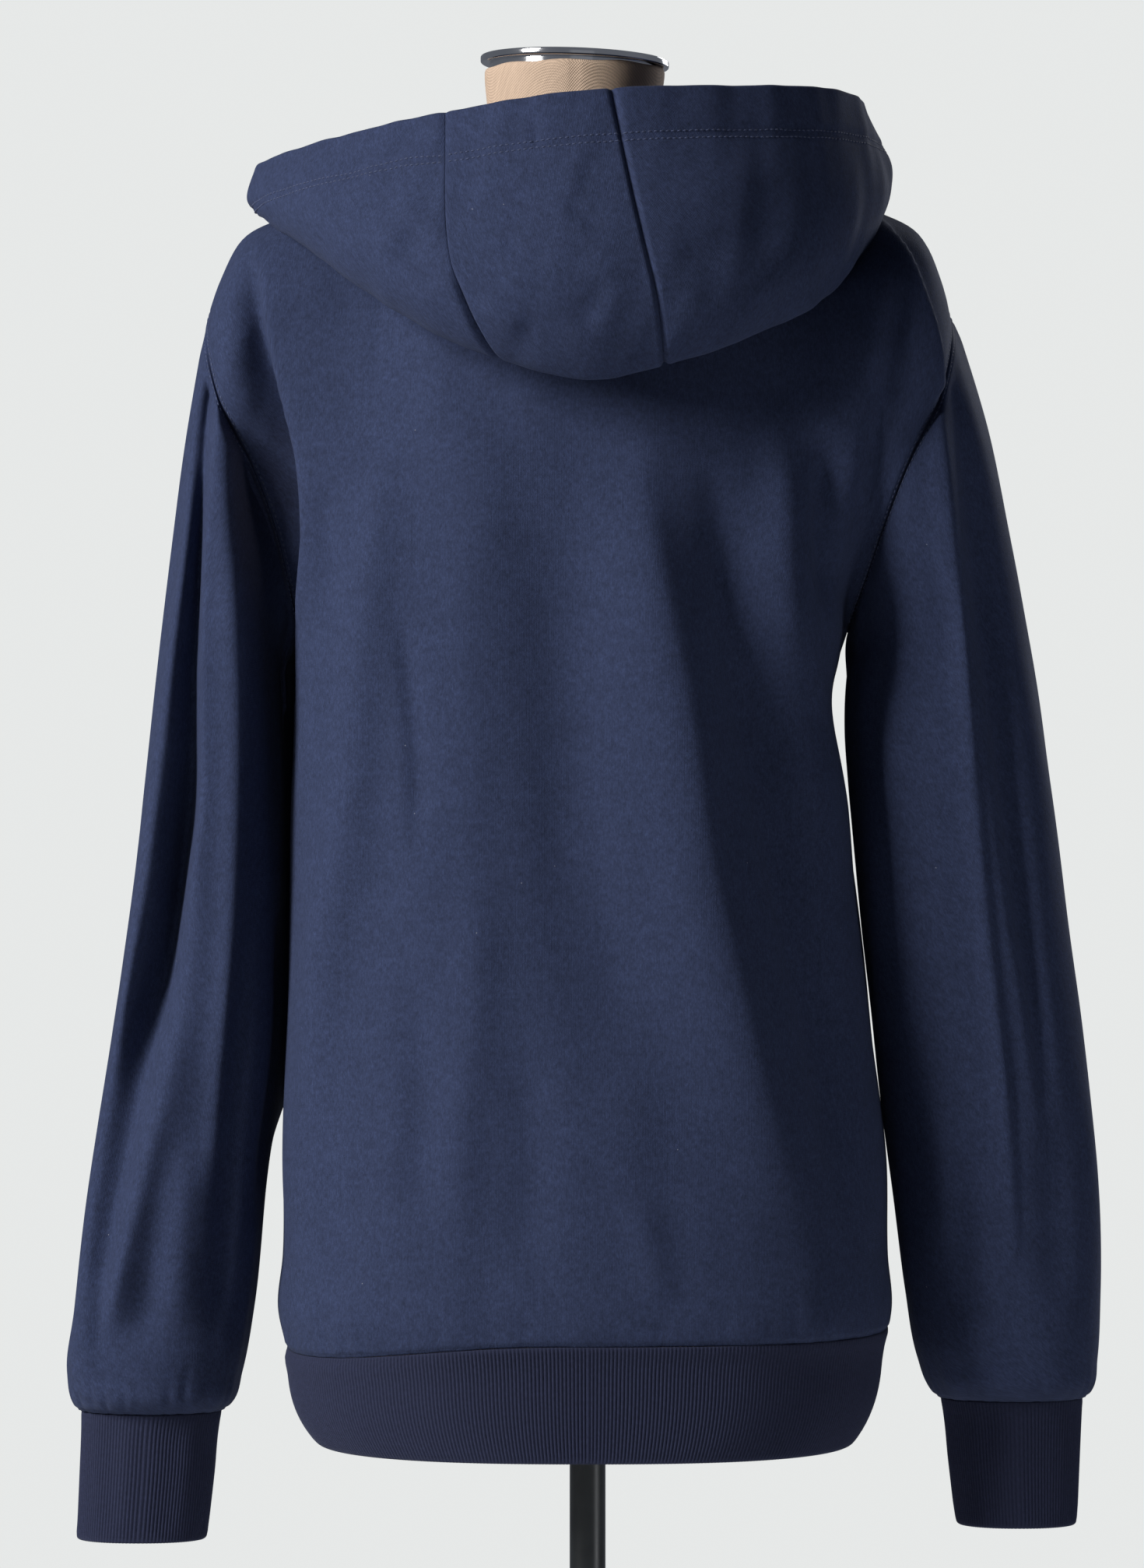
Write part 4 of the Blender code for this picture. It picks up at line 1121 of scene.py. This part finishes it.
def hoodPoint(bearing, t):
    radius, height = neckline(bearing)
    columns = read(hood["sections"], bearing)
    radii = np.concatenate([radius[None], columns[0::2]])
    heights = np.concatenate([height[None] + hood["neckGap"], columns[1::2]])
    knots = np.array(hood["knots"])
    r = smoothAlong(t, knots, radii)
    turn = np.radians(bearing)
    return points(r * np.sin(turn), r * np.cos(turn), smoothAlong(t, knots, heights))


def hoodFacing(bearing, t):
    step = 0.004
    up = hoodPoint(bearing, np.minimum(t + step, 1)) - hoodPoint(bearing, np.maximum(t - step, 0))
    across = hoodPoint(bearing - 1.0, t) - hoodPoint(bearing + 1.0, t)
    return unit(np.cross(across, up))


def hoodRelief(grid, bearing, t, seams):
    left, right, up, brim = panelEdges(grid)
    depth = creases(bearing, t * 100, hood["creases"])
    depth += ripples(bearing * 2.6, t * 230, 71, *hood["ripples"]) * ease((t - 0.45) / 0.15)
    behind = ease((grid[..., 1] - 60) / 30) * (t > 0.46)
    depth += creases(grid[..., 0], grid[..., 2], hood["backCreases"]) * behind
    for gap in brimRows:
        depth += groove(brim - gap, "brimStitches")
    depth += hood["brimStep"] * ease((hood["brimHem"] - brim) / 4) * (t > 0.42)
    edge = np.minimum(left if seams[0] else left + 99, right if seams[1] else right + 99)
    depth *= 0.15 + 0.85 * ease(edge / 5)
    for distance, kind in ((left, seams[0]), (right, seams[1])):
        if kind == "flat":  # opens only low down, where the strip tucks under
            low = ease((hood["openBelow"] - t) / 0.08)
            depth += groove(distance, "flat") * (1 - low) + groove(distance, "open") * low
        elif kind == "deep":
            depth += groove(distance, "deep")
    return depth * ease(up / 8), brim


def hoodPiece(name, node, first, last, width, seams):
    # Bearings are (at the fold, at the brim). Columns run from the wearer's left to the right.
    t = spaced(hood["section"], hood["rowPitch"], (0.0, 1.0, 2.2, 4.0), (0.0, 0.8, 1.6, 2.6, 4.0))[:, None]
    climb = np.clip((t - hood["seamTurn"]) / (1 - hood["seamTurn"]), 0, 1) ** 1.15
    start = first[0] + (first[1] - first[0]) * climb
    end = last[0] + (last[1] - last[0]) * climb
    share = spaced(width, hood["columnPitch"], *(seam if kind else (0.0,) for kind in seams))
    bearing = start + (end - start) * share[None, :]
    t = t + 0 * bearing
    grid = hoodPoint(bearing, t)
    facing = hoodFacing(bearing, t)
    depth, brim = hoodRelief(grid, bearing, t, seams)
    outer = grid + facing * depth[..., None]
    thick = hood["cloth"] + (hood["brimCloth"] - hood["cloth"]) * ease((hood["brimHem"] + 2 - brim) / 4)
    square = facing.copy()
    flatFacing(square, 0, 2)
    for gap in brimRows:
        stitch(*seamLine(outer, facing, "top", gap), int(gap), 1.5)
    inner = outer - square * thick[..., None]
    return dress(clothWall(name, outer, inner, False, (False, True)), node)


def buildHood():
    left, right = hood["seams"]["left"], hood["seams"]["right"]
    front = hood["front"]
    made = {}
    for side, *section in (
        ("left", front, left, 330, ("", "flat")),
        ("center", left, right, 80, ("flat", "deep")),
        ("right", right, tuple(-b for b in front), 330, ("deep", "")),
    ):
        title = "hood" + side.capitalize()
        made[title] = hoodPiece(title, "hood_" + side, *section)
    made["hoodStitches"] = gatherStitches("hoodStitches")
    return made


hoodPieces = buildHood()
print("hood made")


def turned(name, node, rings, finish, sharp, onCloth=False):  # closed rings, with a cap at each end
    grid = np.stack(rings)
    rows, columns = grid.shape[:2]
    uv = np.stack(clothMeasure(grid, True), axis=-1) if onCloth else None
    quads, corners = gridFaces(rows - 1, columns, rows, columns, uv)
    caps = [list(range(columns)), [(rows - 1) * columns + c for c in range(columns)]]
    made = addMesh(name, grid, quads, caps, [finish], None, corners, uv)
    made.data.set_sharp_from_angle(angle=math.radians(sharp))
    return dress(made, node)


form = {
    "columns": 120,
    "lean": 7,
    "capTilt": 1.9,
    "sections": (
        # height, left, right, back, front, squareness
        (726, 138, 138, 92, 88, 2.2),
        (738, 146, 146, 100, 95, 2.2),
        (800, 149, 149, 106, 98, 2.3),
        (880, 142, 142, 101, 94, 2.2),
        (960, 127, 127, 91, 90, 2.1),
        (1040, 119, 119, 90, 96, 2.1),
        (1120, 128, 128, 97, 108, 2.1),
        (1200, 148, 148, 94, 102, 2.1),
        (1260, 169, 171, 82, 84, 2),
        (1303, 180, 181, 62, 60, 1.9),
        (1328, 181.5, 183.5, 52, 48, 1.8),
        (1346, 176, 181.5, 39, 38, 1.6),
        (1354.5, 153, 167, 38, 38, 1.6),
        (1363, 130, 143.5, 38, 38, 1.6),
        (1369.5, 103, 120.5, 40, 40, 1.6),
        (1375, 80, 98, 43, 42, 1.6),
        (1383, 62, 68, 47.5, 45.5, 1.8),
        (1396, 52, 52, 48.5, 48, 2),
        (1436.8, 49, 49, 49, 49, 2),
    ),
    "lip": (47.5, 1434.0),  # radius and height of the cover's turned-in edge, just clear of the cap's foot
}


def buildForm():
    theta = bearings(form["columns"])
    low, high = form["sections"][0][0], form["sections"][-1][0]
    heights = [*np.arange(low, 1340, 7.0), *np.arange(1340, high - 3, 2.0), high - 2, high - 0.6, high]
    seamDip = np.zeros(len(theta))
    for at in (0, math.pi, 1.5708, 4.7124):  # the cover's four seams
        seamDip -= 0.5 * np.exp(-((np.angle(np.exp(1j * (theta - at))) / 0.03) ** 2))
    rings = []
    for z in heights:
        left, right, back, front, squareness = (float(v) for v in read(form["sections"], z))
        shrink = 1.4 * (1 - min(1.0, (high - z) / 1.4)) ** 2 + 2.0 * max(0.0, 1 - (z - low) / 7.0)
        x, y = oval(theta, left - shrink, right - shrink, back - shrink, front - shrink, squareness)
        lean = form["lean"] * float(ease((z - low) / (high - low)))
        out = unit(np.stack([x, y], axis=-1)) * seamDip[:, None]
        uneven = 0.35 * np.sin(9 * theta + 1.2) * np.exp(-((high - z) / 3.0) ** 2)
        rings.append(points(x + lean + out[:, 0], y + out[:, 1], z + uneven))
    lip, foot = form["lip"]
    rings.append(points(form["lean"] + lip * np.cos(theta), lip * np.sin(theta), foot))
    return turned("formCover", "form_torso", rings, linen, 50, True)


def lathe(name, node, profile, finish, centre=0.0, tilt=0.0, columns=96):
    # A turned piece from (radius, height) pairs, its corners already rounded.
    turn = bearings(columns)
    rings = []
    for r, z in profile:
        x, y = r * np.cos(turn), r * np.sin(turn)
        rings.append(points(centre + x, y, z + x * math.tan(math.radians(tilt))))
    return turned(name, node, rings, finish, 35)


stand = {
    # (radius, height) along each turned piece. Four numbers are a quarter round: its centre, size and start.
    "cap": ((46.5, 1434.3), (46.5, 1438.6), (49.0, 1438.8), (50.2, 1439.9, 1.1, -90), (50.2, 1441.7, 1.1, 0),
        (44.0, 1442.8), (43.0, 1442.3), (20.0, 1442.3)),
    "pole": ((9.0, 10.3), (9.75, 11.0), *((9.75, z) for z in np.linspace(14, 722, 30)), (9.75, 725.0),
        (9.2, 725.7)),
    "base": ((160.0, 0.0), (168.6, 1.4, 1.4, -90), (166.6, 6.6, 3.4, 0), (120.0, 10.0), (24.0, 10.0),
        (10.1, 10.0)),
    "roundSteps": 5,
}


def outline(name):
    made = []
    for r, z, *bend in stand[name]:
        if not bend:
            made.append((r, z))
            continue
        size, start = bend
        for i in range(stand["roundSteps"] + 1):
            turn = math.radians(start + 90 * i / stand["roundSteps"])
            made.append((r + size * math.cos(turn), z + size * math.sin(turn)))
    return made


def buildStand():
    lathe("neckCap", "neck_cap", outline("cap"), chrome, form["lean"], form["capTilt"])
    lathe("standPole", "stand_pole", outline("pole"), steel)
    lathe("standBase", "stand_base", outline("base"), steel)


buildForm()
buildStand()
print("form and stand made")


studio = {
    "floorRadius": 2.1,
    "floorTone": (0.80, 0.80, 0.80),
    "seen": (0.795, 0.81, 0.805),
    "dim": (0.80, 0.86, 1.0),
    "dimStrength": 0.032,
    "shineStrength": 0.14,
    "lens": 130.7,
    "cameraPlace": (0.0085, 3.1, 1.048),
    "lamps": (
        # name, place, aim, wide, tall, watts, colour
        ("windowLeft", (2.4, 1.6, 2.3), (0.0, 0.0, 1.05), 1.0, 1.4, 116.0, (1.0, 0.99, 0.97)),
        ("softFront", (-0.6, 3.8, 1.2), (0.0, 0.0, 0.9), 2.0, 2.0, 1.0, (0.95, 0.97, 1.0)),
        ("softRight", (-1.9, 1.1, 0.25), (-0.27, 0.0, 0.64), 0.7, 0.6, 6.0, (0.95, 0.97, 1.0)),
        ("softBeyond", (-1.6, -2.6, 2.1), (0.0, 0.0, 1.0), 1.2, 1.6, 30.0, (0.97, 0.98, 1.0)),
    ),
}


def buildFloor():
    radius = studio["floorRadius"]
    ring = [(radius * math.cos(t), radius * math.sin(t), 0.0) for t in bearings(96)]
    mesh = bpy.data.meshes.new("floor")
    mesh.from_pydata(ring, [], [list(range(96))])
    paint = Finish("paleFloor", studio["floorTone"], Roughness=0.7)
    tones = shades(studio["floorTone"], (0.3, 0.98), (0.7, 1.02))
    paint.put("Base Color", paint.ramp(paint.noise(paint.place(), 3), *tones))
    mesh.materials.append(paint.material)
    setDown("floor", mesh)


def buildSky():  # dim light from all round, with a pale ground behind
    world = bpy.data.worlds.new("paleStudio")
    world.use_nodes = True
    bpy.context.scene.world = world
    sky = Board(world.node_tree)
    sky.tree.nodes.clear()
    seen = sky.node("ShaderNodeLightPath", None, None, 0)
    glossy = sky.node("ShaderNodeLightPath", None, None, 3)
    strength = glossy * studio["shineStrength"] + studio["dimStrength"]
    dim = sky.node("ShaderNodeBackground", None, {"Color": (*studio["dim"], 1), "Strength": strength})
    pale = sky.node("ShaderNodeBackground", None, {"Color": (*studio["seen"], 1)})
    both = sky.node("ShaderNodeMixShader", None, {0: seen, 1: dim, 2: pale})
    sky.node("ShaderNodeOutputWorld", None, {"Surface": both}, None)


def buildLamps():
    for name, place, aim, wide, tall, watts, colour in studio["lamps"]:
        lamp = bpy.data.lights.new(name, "AREA")
        lamp.shape = "RECTANGLE"
        lamp.size, lamp.size_y = wide, tall
        lamp.energy = watts
        lamp.color = colour
        holder = setDown(name, lamp)
        holder.location = place
        look = holder.location.copy()
        look.x, look.y, look.z = (a - b for a, b in zip(aim, place))
        holder.rotation_euler = look.to_track_quat("-Z", "Y").to_euler()


def buildCamera():
    camera = bpy.data.cameras.new("camera")
    camera.sensor_fit = "VERTICAL"
    camera.sensor_height = 36.0
    camera.lens = studio["lens"]
    holder = setDown("camera", camera)
    holder.location = studio["cameraPlace"]
    holder.rotation_euler = (math.radians(90), 0.0, math.radians(180))
    bpy.context.scene.camera = holder


buildFloor()
buildSky()
buildLamps()
buildCamera()
bpy.context.scene.view_settings.view_transform = "Standard"
print("studio made")
